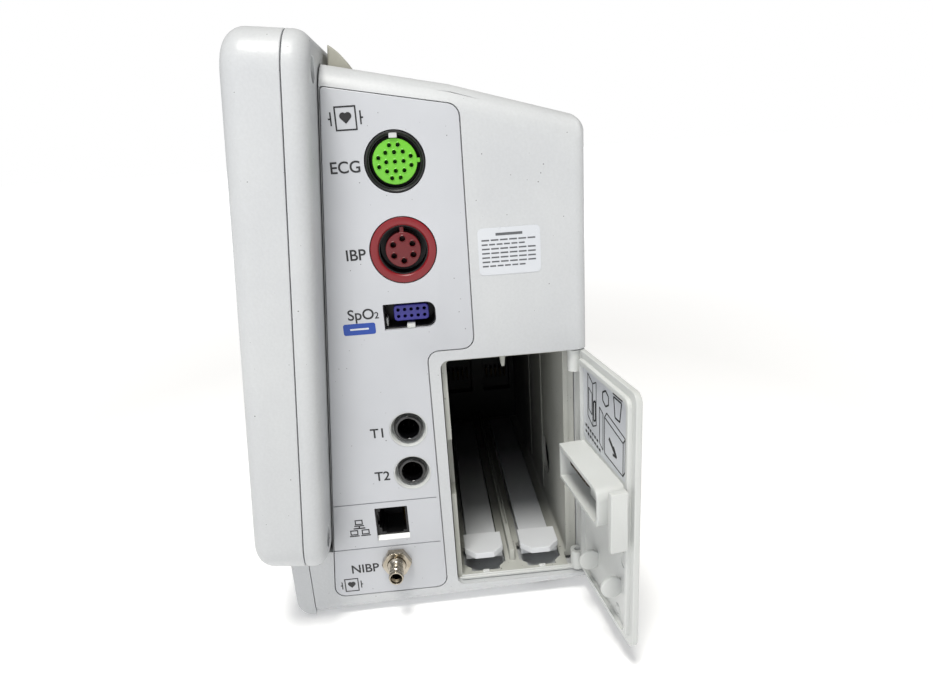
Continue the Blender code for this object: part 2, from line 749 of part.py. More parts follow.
def rear_cuts(shell, parent):
    """Power inlet, ground stud and vent slots in the rear wall, grille slots in the -X wall."""
    width, height = INLET_SIZE
    rear, deep = CHASSIS_REAR_Y + OVERSHOOT, CHASSIS_REAR_Y - 2 * WALL
    cuts = [
        ((INLET_X - width / 2 - GAP, deep, INLET_Z - height / 2 - GAP),
         (INLET_X + width / 2 + GAP, rear, INLET_Z + height / 2 + GAP)),
    ]
    for row in range(6):
        z = INLET_Z - VENT_DROP - row * VENT_PITCH
        cuts.append(((INLET_X - VENT_HALF, deep, z), (INLET_X + VENT_HALF, rear, z + VENT_WIDTH)))
    for row in range(5):
        z = SPEAKER_Z - GRILLE_HALF + row * VENT_PITCH
        cuts.append(
            ((-HALF_WIDTH - OVERSHOOT, SPEAKER_Y - GRILLE_HALF, z),
             (-HALF_WIDTH + 2 * WALL, SPEAKER_Y + GRILLE_HALF, z + VENT_WIDTH))
        )
    cut(shell, boxes("rear_openings", cuts, parent))
    stud = rod(
        "stud_hole", (STUD_X, CHASSIS_REAR_Y, INLET_Z), STUD_RADIUS + GAP, 4 * WALL, (0, 1, 0), parent, 16
    )
    cut(shell, stud)


def lower_front_cover(parent):
    """The chin under the display that closes the chassis in front."""
    front = SEAM_Y - CHIN_DEPTH
    back = SEAM_Y - GAP
    low = FOOT_HEIGHT
    outline = rounded(
        [
            (front, low, CHIN_FILLET * 0.8),
            (back, low, 0),
            (back, under_display_z(back, CHIN_CLEARANCE), 0),
            (front, under_display_z(front, CHIN_CLEARANCE), 1 * MM),
        ]
    )
    cover = plate("lower_front_cover", outline, CHASSIS_WIDTH, parent, "YZ")

    def weight(middle):
        on_side = abs(abs(middle.x) - HALF_WIDTH) < MM
        return 1.0 if on_side and middle.y < back - MM / 2 and middle.z < 25 * MM else 0.0

    weigh_edges(cover, weight)
    bevel(cover, REAR_FILLET, weighted=True)
    pocket = box(
        "chin_pocket",
        (-HALF_WIDTH + 2 * WALL, front + WALL, low + 3 * WALL),
        (HALF_WIDTH - 2 * WALL, back + OVERSHOOT, under_display_z(back, CHIN_CLEARANCE) - WALL),
        parent,
    )
    cut(cover, pocket)
    return finish(cover, "housing_abs")


def feet(parent):
    """Four rubber feet under the chassis floor."""
    for side, x in (("left", -1), ("right", 1)):
        for end, y in (("front", FOOT_FRONT_Y), ("rear", FOOT_REAR_Y)):
            top = bottom_z(y - FOOT_RADIUS) - GAP
            place = (x * (HALF_WIDTH - FOOT_INSET_X), y, top / 2)
            foot = rod(f"foot_{end}_{side}", place, FOOT_RADIUS, top, (0, 0, 1), parent, 20)
            finish(foot, "grey_rubber")


# ---------------------------------------------------------------- display module


def display_slab(name, front_y, back_y, parent):
    """A rounded slab of the module's outline between two depths of the display's frame."""
    outline = rectangle(DISPLAY_WIDTH, DISPLAY_HEIGHT, DISPLAY_CORNER, steps=5)
    place = (0, (front_y + back_y) / 2, 0)
    return plate(name, outline, back_y - front_y, parent, "XZ", place)


def display_cavity(name, front_y, back_y, parent):
    """The same outline drawn in by the module's wall, as a cutter."""
    outline = rectangle(
        DISPLAY_WIDTH - 2 * DISPLAY_WALL,
        DISPLAY_HEIGHT - 2 * DISPLAY_WALL,
        DISPLAY_CORNER - DISPLAY_WALL,
        steps=5,
    )
    return plate(name, outline, back_y - front_y, parent, "XZ", (0, (front_y + back_y) / 2, 0))


def boss_places(y):
    """The four corner screws of the display module."""
    x, z = DISPLAY_WIDTH / 2 - BOSS_INSET, DISPLAY_HEIGHT / 2 - BOSS_INSET
    return [(sx * x, y, sz * z) for sx in (-1, 1) for sz in (-1, 1)]


def front_bezel(parent):
    """The front shell with its screen window, key holes, knob hole and lamp slot."""
    front, back = -DISPLAY_DEPTH, -DISPLAY_REAR_DEPTH - GAP / 2
    bezel = display_slab("front_bezel", front, back, parent)

    def weight(middle):
        return 1.0 if middle.y < -(back - front) / 2 + MM / 2 else 0.0

    weigh_edges(bezel, weight)
    bevel(bezel, DISPLAY_FRONT_FILLET, segments=4, weighted=True)
    inner = front + DISPLAY_WALL
    cut(bezel, display_cavity("bezel_cavity", inner, back + OVERSHOOT, parent))
    bosses = rods(
        "bezel_bosses", boss_places((inner - MM + back) / 2), BOSS_RADIUS, back - inner + MM,
        (0, 1, 0), parent,
    )
    join(bezel, bosses)
    holes = rods(
        "bezel_screw_holes", boss_places(back), SCREW_SHANK_RADIUS + PIN_GAP, BEZEL_HOLE_DEPTH,
        (0, 1, 0), parent, 12,
    )
    cut(bezel, holes)
    window = plate(
        "screen_window",
        rectangle(SCREEN_WIDTH, SCREEN_HEIGHT, SCREEN_CORNER, (SCREEN_X, SCREEN_Z), 2),
        4 * DISPLAY_WALL,
        parent,
        "XZ",
        (0, front, 0),
    )
    cut(bezel, window)
    lamp = plate(
        "lamp_slot",
        rectangle(LAMP_WIDTH + 2 * GAP, LAMP_HEIGHT + 2 * GAP, LAMP_CORNER + GAP, (0, LAMP_Z), 3),
        4 * DISPLAY_WALL,
        parent,
        "XZ",
        (0, front, 0),
    )
    cut(bezel, lamp)
    for index, name in enumerate(KEY_NAMES):
        centre = (KEY_COLUMN_X, KEY_TOP_Z - index * KEY_PITCH)
        outline = rectangle(
            KEY_WIDTH + 2 * SLIDE_GAP, KEY_HEIGHT + 2 * SLIDE_GAP, KEY_CORNER + SLIDE_GAP, centre, 3
        )
        cut(bezel, plate(name + "_hole", outline, 4 * DISPLAY_WALL, parent, "XZ", (0, front, 0)))
    for name, x, z, radius in (
        ("power_hole", POWER_KEY_X, POWER_KEY_Z, POWER_KEY_RADIUS + SLIDE_GAP),
        ("shaft_hole", KEY_COLUMN_X, KNOB_Z, SHAFT_HOLE_RADIUS),
    ):
        cut(bezel, rod(name, (x, front, z), radius, 4 * DISPLAY_WALL, (0, 1, 0), parent))
    return finish(bezel, "housing_abs")


def display_rear_cover(parent):
    """The shallow back shell of the display, open to the chassis behind it."""
    front, back = -DISPLAY_REAR_DEPTH + GAP / 2, 0.0
    cover = display_slab("display_rear_cover", front, back, parent)

    def weight(middle):
        return 1.0 if middle.y > (back - front) / 2 - MM / 2 else 0.0

    weigh_edges(cover, weight)
    bevel(cover, DISPLAY_BACK_FILLET, segments=4, weighted=True)
    cavity_back = back - DISPLAY_WALL
    cut(cover, display_cavity("cover_cavity", front - OVERSHOOT, cavity_back, parent))
    join(
        cover,
        rods("cover_bosses", boss_places((front + cavity_back) / 2 + MM / 2), BOSS_RADIUS + MM / 2,
             cavity_back - front + MM, (0, 1, 0), parent, 20),
    )
    recess = rods(
        "screw_recesses", boss_places(back), SCREW_RECESS_RADIUS, 2 * SCREW_RECESS_DEPTH, (0, 1, 0), parent
    )
    cut(cover, recess)
    shanks = rods(
        "cover_screw_holes", boss_places(front), SCREW_SHANK_RADIUS + PIN_GAP, SCREW_HOLE_LENGTH,
        (0, 1, 0), parent, 12,
    )
    cut(cover, shanks)
    cables = plate(
        "cable_window",
        rectangle(2 * WELL_HALF_WIDTH, CABLE_WINDOW_HEIGHT, CABLE_WINDOW_CORNER, (0, CABLE_WINDOW_Z), 2),
        6 * DISPLAY_WALL,
        parent,
        "XZ",
    )
    cut(cover, cables)
    return finish(cover, "housing_abs")


def display_screws(parent):
    """Four screws that hold the two display shells together, put in from behind."""
    head = SCREW_HEAD_HEIGHT
    for index, (x, y, z) in enumerate(boss_places(-SCREW_RECESS_DEPTH + GAP + head / 2)):
        screw = rod(f"display_screw_{index + 1}", (x, y, z), SCREW_HEAD_RADIUS, head, (0, 1, 0), parent, 16)
        shank = rod(
            f"display_screw_shank_{index + 1}",
            (x, y - head / 2 - SCREW_SHANK_LENGTH / 2 + LAP, z),
            SCREW_SHANK_RADIUS,
            SCREW_SHANK_LENGTH,
            (0, 1, 0),
            parent,
            10,
        )
        join(screw, shank)
        finish(screw, "steel")


def screen_parts(parent):
    """Clear window, LCD module and its steel bracket, stacked behind the bezel."""
    y = -DISPLAY_DEPTH + DISPLAY_WALL + GAP
    stack = (
        ("display_window", WINDOW_LAP, WINDOW_THICKNESS, "screen_glass"),
        ("lcd_module", LCD_LAP, LCD_THICKNESS, "steel"),
    )
    for name, lap, thickness, material in stack:
        outline = rectangle(
            SCREEN_WIDTH + 2 * lap, SCREEN_HEIGHT + 2 * lap, SCREEN_CORNER, (SCREEN_X, SCREEN_Z), 2
        )
        piece = plate(name, outline, thickness, parent, "XZ", (0, y + thickness / 2, 0))
        finish(piece, material)
        y += thickness + GAP
    bracket = box(
        "lcd_bracket",
        (SCREEN_X - SCREEN_WIDTH / 2, y, SCREEN_Z - SCREEN_HEIGHT / 2),
        (SCREEN_X + SCREEN_WIDTH / 2, y + BRACKET_THICKNESS, SCREEN_Z + SCREEN_HEIGHT / 2),
        parent,
    )
    slot = boxes(
        "bracket_windows",
        [
            ((SCREEN_X + s * 45 * MM - 30 * MM, y - OVERSHOOT, SCREEN_Z - 40 * MM),
             (SCREEN_X + s * 45 * MM + 30 * MM, y + OVERSHOOT, SCREEN_Z + 40 * MM))
            for s in (-1, 1)
        ],
        parent,
    )
    finish(cut(bracket, slot), "steel")


def alarm_lamp(parent):
    """The alarm lens along the top of the bezel."""
    front = -DISPLAY_DEPTH
    lens = plate(
        "alarm_lamp_lens",
        rectangle(LAMP_WIDTH, LAMP_HEIGHT, LAMP_CORNER, (0, LAMP_Z), 3),
        DISPLAY_WALL + 2 * MM,
        parent,
        "XZ",
        (0, front + DISPLAY_WALL / 2, 0),
    )
    bevel(lens, LAMP_EDGE, 2)
    finish(lens, "lamp_lens")


def keys(parent):
    """The column of sprung keys, the power key and the board behind them."""
    front = -DISPLAY_DEPTH
    stem = KEY_PROUD + DISPLAY_WALL + GAP + KEY_FLANGE
    for index, name in enumerate(KEY_NAMES):
        z = KEY_TOP_Z - index * KEY_PITCH
        axis = make_empty(name + "_slide", (KEY_COLUMN_X, front, z), parent)
        cap = plate(
            name, rectangle(KEY_WIDTH, KEY_HEIGHT, KEY_CORNER, steps=3), stem - LAP, axis, "XZ",
            (0, (stem - LAP) / 2 - KEY_PROUD, 0),
        )
        bevel(cap, KEY_EDGE, 2)
        flange = box(
            name + "_flange",
            (-KEY_WIDTH / 2 - MM, DISPLAY_WALL + GAP, -KEY_HEIGHT / 2 - MM),
            (KEY_WIDTH / 2 + MM, DISPLAY_WALL + GAP + KEY_FLANGE, KEY_HEIGHT / 2 + MM),
            axis,
        )
        join(cap, flange)
        finish(cap, "key_rubber")
    axis = make_empty("power_key_slide", (POWER_KEY_X, front, POWER_KEY_Z), parent)
    cap = rod(
        "power_key", (0, (stem - LAP) / 2 - KEY_PROUD, 0), POWER_KEY_RADIUS, stem - LAP, (0, 1, 0), axis
    )
    bevel(cap, KEY_EDGE, 2)
    flange = rod(
        "power_key_flange", (0, DISPLAY_WALL + GAP + KEY_FLANGE / 2, 0), POWER_KEY_RADIUS + MM,
        KEY_FLANGE, (0, 1, 0), axis, 20,
    )
    join(cap, flange)
    finish(cap, "key_rubber")
    board_y = front + DISPLAY_WALL + GAP + KEY_FLANGE + KEY_TRAVEL + GAP
    board_x = (-DISPLAY_WIDTH / 2 + DISPLAY_WALL + BOARD_MARGIN, KEY_COLUMN_X + KEY_WIDTH / 2)
    board = box(
        "key_board",
        (board_x[0], board_y, KNOB_Z - 2 * ENCODER_HALF),
        (board_x[1], board_y + BOARD_THICKNESS, KEY_TOP_Z + KEY_HEIGHT),
        parent,
    )
    hole = rod(
        "plunger_hole", (KEY_COLUMN_X, board_y, KNOB_Z), SHAFT_RADIUS + MM, 10 * MM, (0, 1, 0), parent
    )
    finish(cut(board, hole), "circuit_board")
    return board_y + BOARD_THICKNESS


def knob(parent, board_back):
    """Navigation knob on its shaft, which turns on a plunger that can be pressed."""
    front = -DISPLAY_DEPTH
    axis = make_empty("knob_axis", (KEY_COLUMN_X, front, KNOB_Z), parent)
    centre = -KNOB_LIFT - KNOB_HEIGHT / 2
    grip = rod("navigation_knob", (0, centre, 0), KNOB_RADIUS, KNOB_HEIGHT, (0, 1, 0), axis, 36)
    bevel(grip, KNOB_EDGE, 3)
    blind = KNOB_BLIND
    socket = rod(
        "knob_socket", (0, -KNOB_LIFT, 0), SHAFT_RADIUS + PIN_GAP, 2 * blind, (0, 1, 0), axis, 20
    )
    finish(cut(grip, socket), "key_rubber")
    shaft_front = -KNOB_LIFT - blind + GAP
    shaft_back = board_back - front + SHAFT_REACH
    shaft = rod(
        "encoder_shaft", (0, (shaft_front + shaft_back) / 2, 0), SHAFT_RADIUS,
        shaft_back - shaft_front, (0, 1, 0), axis, 20,
    )
    finish(shaft, "steel")
    plunger_back = shaft_back + GAP + SHAFT_REACH
    plunger = rod(
        "encoder_plunger", (0, (shaft_back + GAP + plunger_back) / 2, 0), SHAFT_RADIUS - MM / 2,
        plunger_back - shaft_back - GAP, (0, 1, 0), axis, 20,
    )
    finish(plunger, "black_nylon")
    back = -DISPLAY_REAR_DEPTH - front
    body = box(
        "rotary_encoder",
        (-ENCODER_HALF, board_back - front + GAP, -ENCODER_HALF),
        (ENCODER_HALF, back + SHAFT_REACH, ENCODER_HALF),
        axis,
    )
    deep = 2 * (plunger_back + KEY_TRAVEL)
    bore = rod("encoder_bore", (0, 0, 0), SHAFT_RADIUS + PIN_GAP, deep, (0, 1, 0), axis, 20)
    finish(cut(body, bore), "black_nylon")


def carry_handle(parent):
    """Grip behind the display: two cheeks standing in the hand well, with a bar between them."""
    well_floor = top_z(WELL_REAR_Y) - WELL_DEPTH
    low = well_floor + GAP
    front = GAP + MM

    def side_profile(inset, foot):
        """A side view: flat along the display's back plane, with a round back, down to a foot."""
        centre = Vector((HANDLE_CENTRE_Y, HANDLE_CENTRE_Z))
        radius = HANDLE_RADIUS - inset
        start_y = display_y(HANDLE_CENTRE_Z + radius) + front + inset
        first = math.asin((start_y - centre.x) / radius)
        arc = []
        for step in range(9):
            angle = first + (math.pi / 2 - first) * step / 8
            arc.append(centre + radius * Vector((math.sin(angle), math.cos(angle))))
        return arc + [Vector((arc[-1].x, foot)), Vector((display_y(foot) + front + inset, foot))]

    half = WELL_HALF_WIDTH - 1 * MM
    cheek = side_profile(0, low)
    grip = side_profile(LAP, HANDLE_CENTRE_Z - HANDLE_DROP)
    handle = plate(
        "carry_handle", cheek, HANDLE_CHEEK, parent, "YZ", (half - HANDLE_CHEEK / 2, 0, 0)
    )
    other = plate(
        "handle_cheek", cheek, HANDLE_CHEEK, parent, "YZ", (-half + HANDLE_CHEEK / 2, 0, 0)
    )
    bar = plate("handle_bar", grip, 2 * half - HANDLE_CHEEK, parent, "YZ")
    bevel(handle, HANDLE_EDGE, 2, angle=math.radians(50))
    bevel(other, HANDLE_EDGE, 2, angle=math.radians(50))
    join(handle, other)
    join(handle, bar)
    return finish(weld(handle), "housing_abs")


# ---------------------------------------------------------------- connector panel and sockets


def connector_panel(parent):
    """The smooth plate that carries the patient connectors, with a hole for each."""
    x = HALF_WIDTH - PANEL_THICKNESS / 2
    panel = plate("connector_panel", panel_outline(), PANEL_THICKNESS, parent, "YZ", (x, 0, 0))
    through = 4 * PANEL_THICKNESS
    round_holes = [
        ("ecg", ECG_CENTRE, ECG_RADIUS + GAP, 32),
        ("ibp", IBP_CENTRE, IBP_RADIUS + GAP, 32),
        ("nibp", NIBP_CENTRE, NIBP_THREAD_RADIUS + GAP, 16),
    ]
    round_holes += [
        (f"temp_{i + 1}", centre, TEMP_RECESS_RADIUS, 28) for i, centre in enumerate(TEMP_CENTRES)
    ]
    for name, (y, z), radius, sides in round_holes:
        cut(panel, rod(name + "_hole", (x, y, z), radius, through, (1, 0, 0), parent, sides))
    for name, (y, z), (width, height) in (
        ("spo2_hole", SPO2_CENTRE, SPO2_SIZE),
        ("network_hole", NETWORK_CENTRE, NETWORK_SIZE),
    ):
        cut(
            panel,
            box(name, (x - through, y - width / 2, z - height / 2),
                (x + through, y + width / 2, z + height / 2), parent),
        )
    return finish(panel, "housing_abs")


def round_socket(name, centre, radius, bore, insert_radius, materials, parent):
    """A round socket: a cup flush with the panel and the pin insert that stands in it."""
    y, z = centre
    face = HALF_WIDTH
    cup = turned(
        name + "_socket",
        [
            (radius, 0),
            (radius, -SOCKET_DEPTH),
            (0.4 * radius, -SOCKET_DEPTH),
            (0.4 * radius, -SOCKET_DEPTH + SOCKET_FLOOR),
            (bore, -SOCKET_DEPTH + SOCKET_FLOOR),
            (bore, 0),
        ],
        (face, y, z),
        (1, 0, 0),
        parent,
    )
    finish(cup, materials[0])
    back = -SOCKET_DEPTH + SOCKET_FLOOR + GAP
    insert = rod(
        name + "_insert",
        (face + (back - INSERT_RECESS) / 2, y, z),
        insert_radius,
        -INSERT_RECESS - back,
        (1, 0, 0),
        parent,
        28,
    )
    finish(insert, materials[1])


def spo2_socket(parent):
    """Rectangular pulse oximetry socket with its violet insert."""
    y, z = SPO2_CENTRE
    width, height = SPO2_SIZE
    back = HALF_WIDTH - PANEL_THICKNESS - GAP
    wall = 1.2 * MM
    shell = box(
        "spo2_socket",
        (back - SPO2_DEPTH, y - width / 2 - wall, z - height / 2 - wall),
        (back, y + width / 2 + wall, z + height / 2 + wall),
        parent,
    )
    cavity = box(
        "spo2_cavity",
        (back - SPO2_DEPTH + 2 * MM, y - width / 2 + GAP, z - height / 2 + GAP),
        (back + OVERSHOOT, y + width / 2 - GAP, z + height / 2 - GAP),
        parent,
    )
    finish(cut(shell, cavity), "black_nylon")
    inner_width, inner_height = SPO2_INSERT_SIZE
    middle = y + SPO2_INSERT_SHIFT
    insert = box(
        "spo2_insert",
        (back - SPO2_DEPTH + 2 * MM + GAP, middle - inner_width / 2, z - inner_height / 2),
        (HALF_WIDTH - 2 * MM, middle + inner_width / 2, z + inner_height / 2),
        parent,
    )
    finish(bevel(insert, 0.5 * MM, 2), "violet_nylon")


def temperature_jacks(parent):
    """Two round jacks with open bores, set back in the panel's recesses."""
    for index, (y, z) in enumerate(TEMP_CENTRES):
        face = HALF_WIDTH - 0.8 * MM
        jack = turned(
            f"temp_jack_{index + 1}",
            [
                (TEMP_JACK_RADIUS, 0),
                (TEMP_JACK_RADIUS, -TEMP_JACK_LENGTH),
                (TEMP_BORE_RADIUS, -TEMP_JACK_LENGTH),
                (TEMP_BORE_RADIUS, -MM),
                (TEMP_BORE_RADIUS + 0.6 * MM, 0),
            ],
            (face, y, z),
            (1, 0, 0),
            parent,
            24,
        )
        finish(jack, "black_nylon")


def network_jack(parent):
    """Modular network jack behind its square cut-out."""
    y, z = NETWORK_CENTRE
    width, height = NETWORK_SIZE
    face = HALF_WIDTH - PANEL_THICKNESS - GAP
    wall = NETWORK_WALL
    jack = box(
        "network_jack",
        (face - NETWORK_DEPTH, y - width / 2 - wall, z - height / 2 - wall),
        (face, y + width / 2 + wall, z + height / 2 + wall),
        parent,
    )
    cavity = box(
        "network_cavity",
        (face - NETWORK_DEPTH + 2 * MM, y - width / 2 + wall, z - height / 2 + 2 * wall),
        (face + OVERSHOOT, y + width / 2 - wall, z + height / 2 - wall),
        parent,
    )
    finish(cut(jack, cavity), "black_nylon")


def nibp_fitting(parent):
    """Cuff hose fitting: a ribbed nipple through the panel and its hexagonal nut."""
    y, z = NIBP_CENTRE
    nut_radius = NIBP_NUT_ACROSS / 2 / math.cos(math.radians(30))
    nut = rod(
        "nibp_nut", (HALF_WIDTH + GAP + NIBP_NUT_THICKNESS / 2, y, z), nut_radius,
        NIBP_NUT_THICKNESS, (1, 0, 0), parent, 6,
    )
    thread = rod(
        "nut_thread", (HALF_WIDTH, y, z), NIBP_THREAD_RADIUS + PIN_GAP, 2 * NIBP_REACH, (1, 0, 0), parent, 16
    )
    finish(cut(nut, thread), "nickel")
    tip = NIBP_REACH
    rib = tip - 4 * MM
    profile = [
        (NIBP_TIP_RADIUS, tip),
        (NIBP_TIP_RADIUS, rib),
        (NIBP_TIP_RADIUS - 0.5 * MM, rib - 0.6 * MM),
        (NIBP_TIP_RADIUS - 0.5 * MM, NIBP_NUT_THICKNESS + 1.5 * MM),
        (NIBP_THREAD_RADIUS, NIBP_NUT_THICKNESS + MM),
        (NIBP_THREAD_RADIUS, -NIBP_THREAD_LENGTH),
        (NIBP_BORE_RADIUS, -NIBP_THREAD_LENGTH),
        (NIBP_BORE_RADIUS, tip),
    ]
    nipple = turned("nibp_nipple", profile, (HALF_WIDTH, y, z), (1, 0, 0), parent, 16)
    finish(nipple, "nickel")


# ---------------------------------------------------------------- battery bay, catches and door


def catch_outline(clearance=0.0):
    """Outline of a battery catch in X and Y from its pivot: a long tongue with an eight-sided tab."""
    length, width = CATCH_LENGTH, CATCH_WIDTH / 2 + clearance
    tab_length, tab_width = CATCH_TAB
    tab_start, half = length - tab_length - clearance, tab_width / 2 + clearance
    end, chamfer = length + clearance, 4 * MM
    side = [
        (-clearance, width),
        (tab_start, width),
        (tab_start, half),
        (end - chamfer, half),
        (end, half - chamfer),
    ]
    return [(x, -y) for x, y in side] + [(x, y) for x, y in reversed(side)]


def battery_bay(parent):
    """Tray for two battery packs side by side, slotted for the catches and notched for the latch."""
    wall = BAY_WALL
    bay = box(
        "battery_bay",
        (BAY_END_X - wall, BAY_FRONT_Y - wall, BAY_BOTTOM_Z - wall),
        (BAY_MOUTH_X, BAY_REAR_Y + wall, BAY_TOP_Z + wall),
        parent,
    )
    inside = box(
        "bay_inside",
        (BAY_END_X, BAY_FRONT_Y, BAY_BOTTOM_Z),
        (BAY_MOUTH_X + OVERSHOOT, BAY_REAR_Y, BAY_TOP_Z),
        parent,
    )
    cut(bay, inside)
    recess_x = HALF_WIDTH - HINGE_RECESS
    hinge_room = box(
        "hinge_room",
        (recess_x, BAY_REAR_Y - 1 * MM, BAY_BOTTOM_Z - 2 * wall),
        (BAY_MOUTH_X + OVERSHOOT, BAY_REAR_Y + 2 * wall, BAY_TOP_Z + 2 * wall),
        parent,
    )
    cut(bay, hinge_room)
    notch_half = LATCH_BLOCK_HEIGHT / 2 + 2 * SLIDE_GAP
    latch_notch = box(
        "latch_notch",
        (HALF_WIDTH - DOOR_THICKNESS - LATCH_BLOCK_RISE - MM, BAY_FRONT_Y - OVERSHOOT,
         LATCH_BLOCK_Z - notch_half),
        (BAY_MOUTH_X + OVERSHOOT, BAY_FRONT_Y + OVERSHOOT, LATCH_BLOCK_Z + notch_half),
        parent,
    )
    cut(bay, latch_notch)
    additions = [
        ((BAY_END_X + CONTACT_DEPTH + MM, DIVIDER_Y - DIVIDER_THICKNESS / 2, BAY_BOTTOM_Z - wall / 2),
         (HALF_WIDTH - DIVIDER_SETBACK, DIVIDER_Y + DIVIDER_THICKNESS / 2, BAY_BOTTOM_Z + DIVIDER_HEIGHT)),
        ((HALF_WIDTH - TOP_RIB_X[0], DIVIDER_Y - TOP_RIB_HALF, BAY_TOP_Z - TOP_RIB_DROP),
         (HALF_WIDTH - TOP_RIB_X[1], DIVIDER_Y + TOP_RIB_HALF, BAY_TOP_Z + wall / 2)),
        ((recess_x - wall, BAY_REAR_Y + wall / 2, BAY_BOTTOM_Z - wall),
         (recess_x - GAP, CHASSIS_REAR_Y - WALL - GAP, BAY_TOP_Z + wall)),
    ]
    for index, (low, high) in enumerate(additions):
        join(bay, box(f"bay_rib_{index + 1}", low, high, parent))
    for index, middle in enumerate(CATCH_MIDDLES):
        slot = plate(
            f"catch_slot_{index + 1}", catch_outline(SLIDE_GAP + GAP), CATCH_SLOT_DEPTH, parent, "XY",
            (CATCH_PIVOT_X, middle, BAY_BOTTOM_Z - wall),
        )
        cut(bay, slot)
    hole = rod(
        "eject_hole", (HALF_WIDTH - EJECT_HOLE_X, BAY_REAR_Y, EJECT_HOLE_Z), EJECT_HOLE_RADIUS, 6 * wall,
        (0, 1, 0), parent, 24,
    )
    cut(bay, hole)
    return finish(bay, "housing_abs")


def battery_catches(parent):
    """Two sprung tongues in the bay floor; each ends in a raised tab that stops its battery."""
    for index, middle in enumerate(CATCH_MIDDLES):
        pivot = make_empty(f"catch_pivot_{index + 1}", (CATCH_PIVOT_X, middle, CATCH_PIVOT_Z), parent)
        tongue = plate(f"battery_catch_{index + 1}", catch_outline(), CATCH_THICKNESS, pivot, "XY")
        length, width = CATCH_TAB
        chamfer = 4 * MM
        low = CATCH_THICKNESS / 2 - MM / 4
        tab = plate(
            f"catch_tab_{index + 1}",
            [
                (CATCH_LENGTH - length, -width / 2),
                (CATCH_LENGTH - chamfer, -width / 2),
                (CATCH_LENGTH, -width / 2 + chamfer),
                (CATCH_LENGTH, width / 2 - chamfer),
                (CATCH_LENGTH - chamfer, width / 2),
                (CATCH_LENGTH - length, width / 2),
            ],
            CATCH_TAB_RISE,
            pivot,
            "XY",
            (0, 0, low + CATCH_TAB_RISE / 2),
        )
        join(tongue, tab)
        finish(tongue, "housing_abs")


def battery_contacts(parent):
    """Contact block at the bay's far end, with a ledge and a row of blades for each battery."""
    low, high = BAY_BOTTOM_Z + GAP, BAY_TOP_Z - GAP
    front, rear = BAY_FRONT_Y + GAP, BAY_REAR_Y - GAP
    start = BAY_END_X + GAP
    block = box("battery_contact_block", (start, front, low), (start + CONTACT_DEPTH, rear, high), parent)
    windows = [
        ((start + CONTACT_FLOOR, y - CONTACT_WINDOW[0] / 2, low + CONTACT_WINDOW[1]),
         (start + CONTACT_DEPTH + OVERSHOOT, y + CONTACT_WINDOW[0] / 2, low + CONTACT_WINDOW[2]))
        for y in CATCH_MIDDLES
    ]
    cut(block, boxes("contact_windows", windows, parent))
    finish(block, "black_nylon")
    for index, middle in enumerate(CATCH_MIDDLES):
        blades = box(
            f"battery_terminal_{index + 1}",
            (start + CONTACT_FLOOR + GAP, middle - CONTACT_BLADES[0] / 2, low + CONTACT_BLADES[1]),
            (start + CONTACT_DEPTH - GAP, middle + CONTACT_BLADES[0] / 2, low + CONTACT_BLADES[2]),
            parent,
        )
        finish(blades, "nickel")


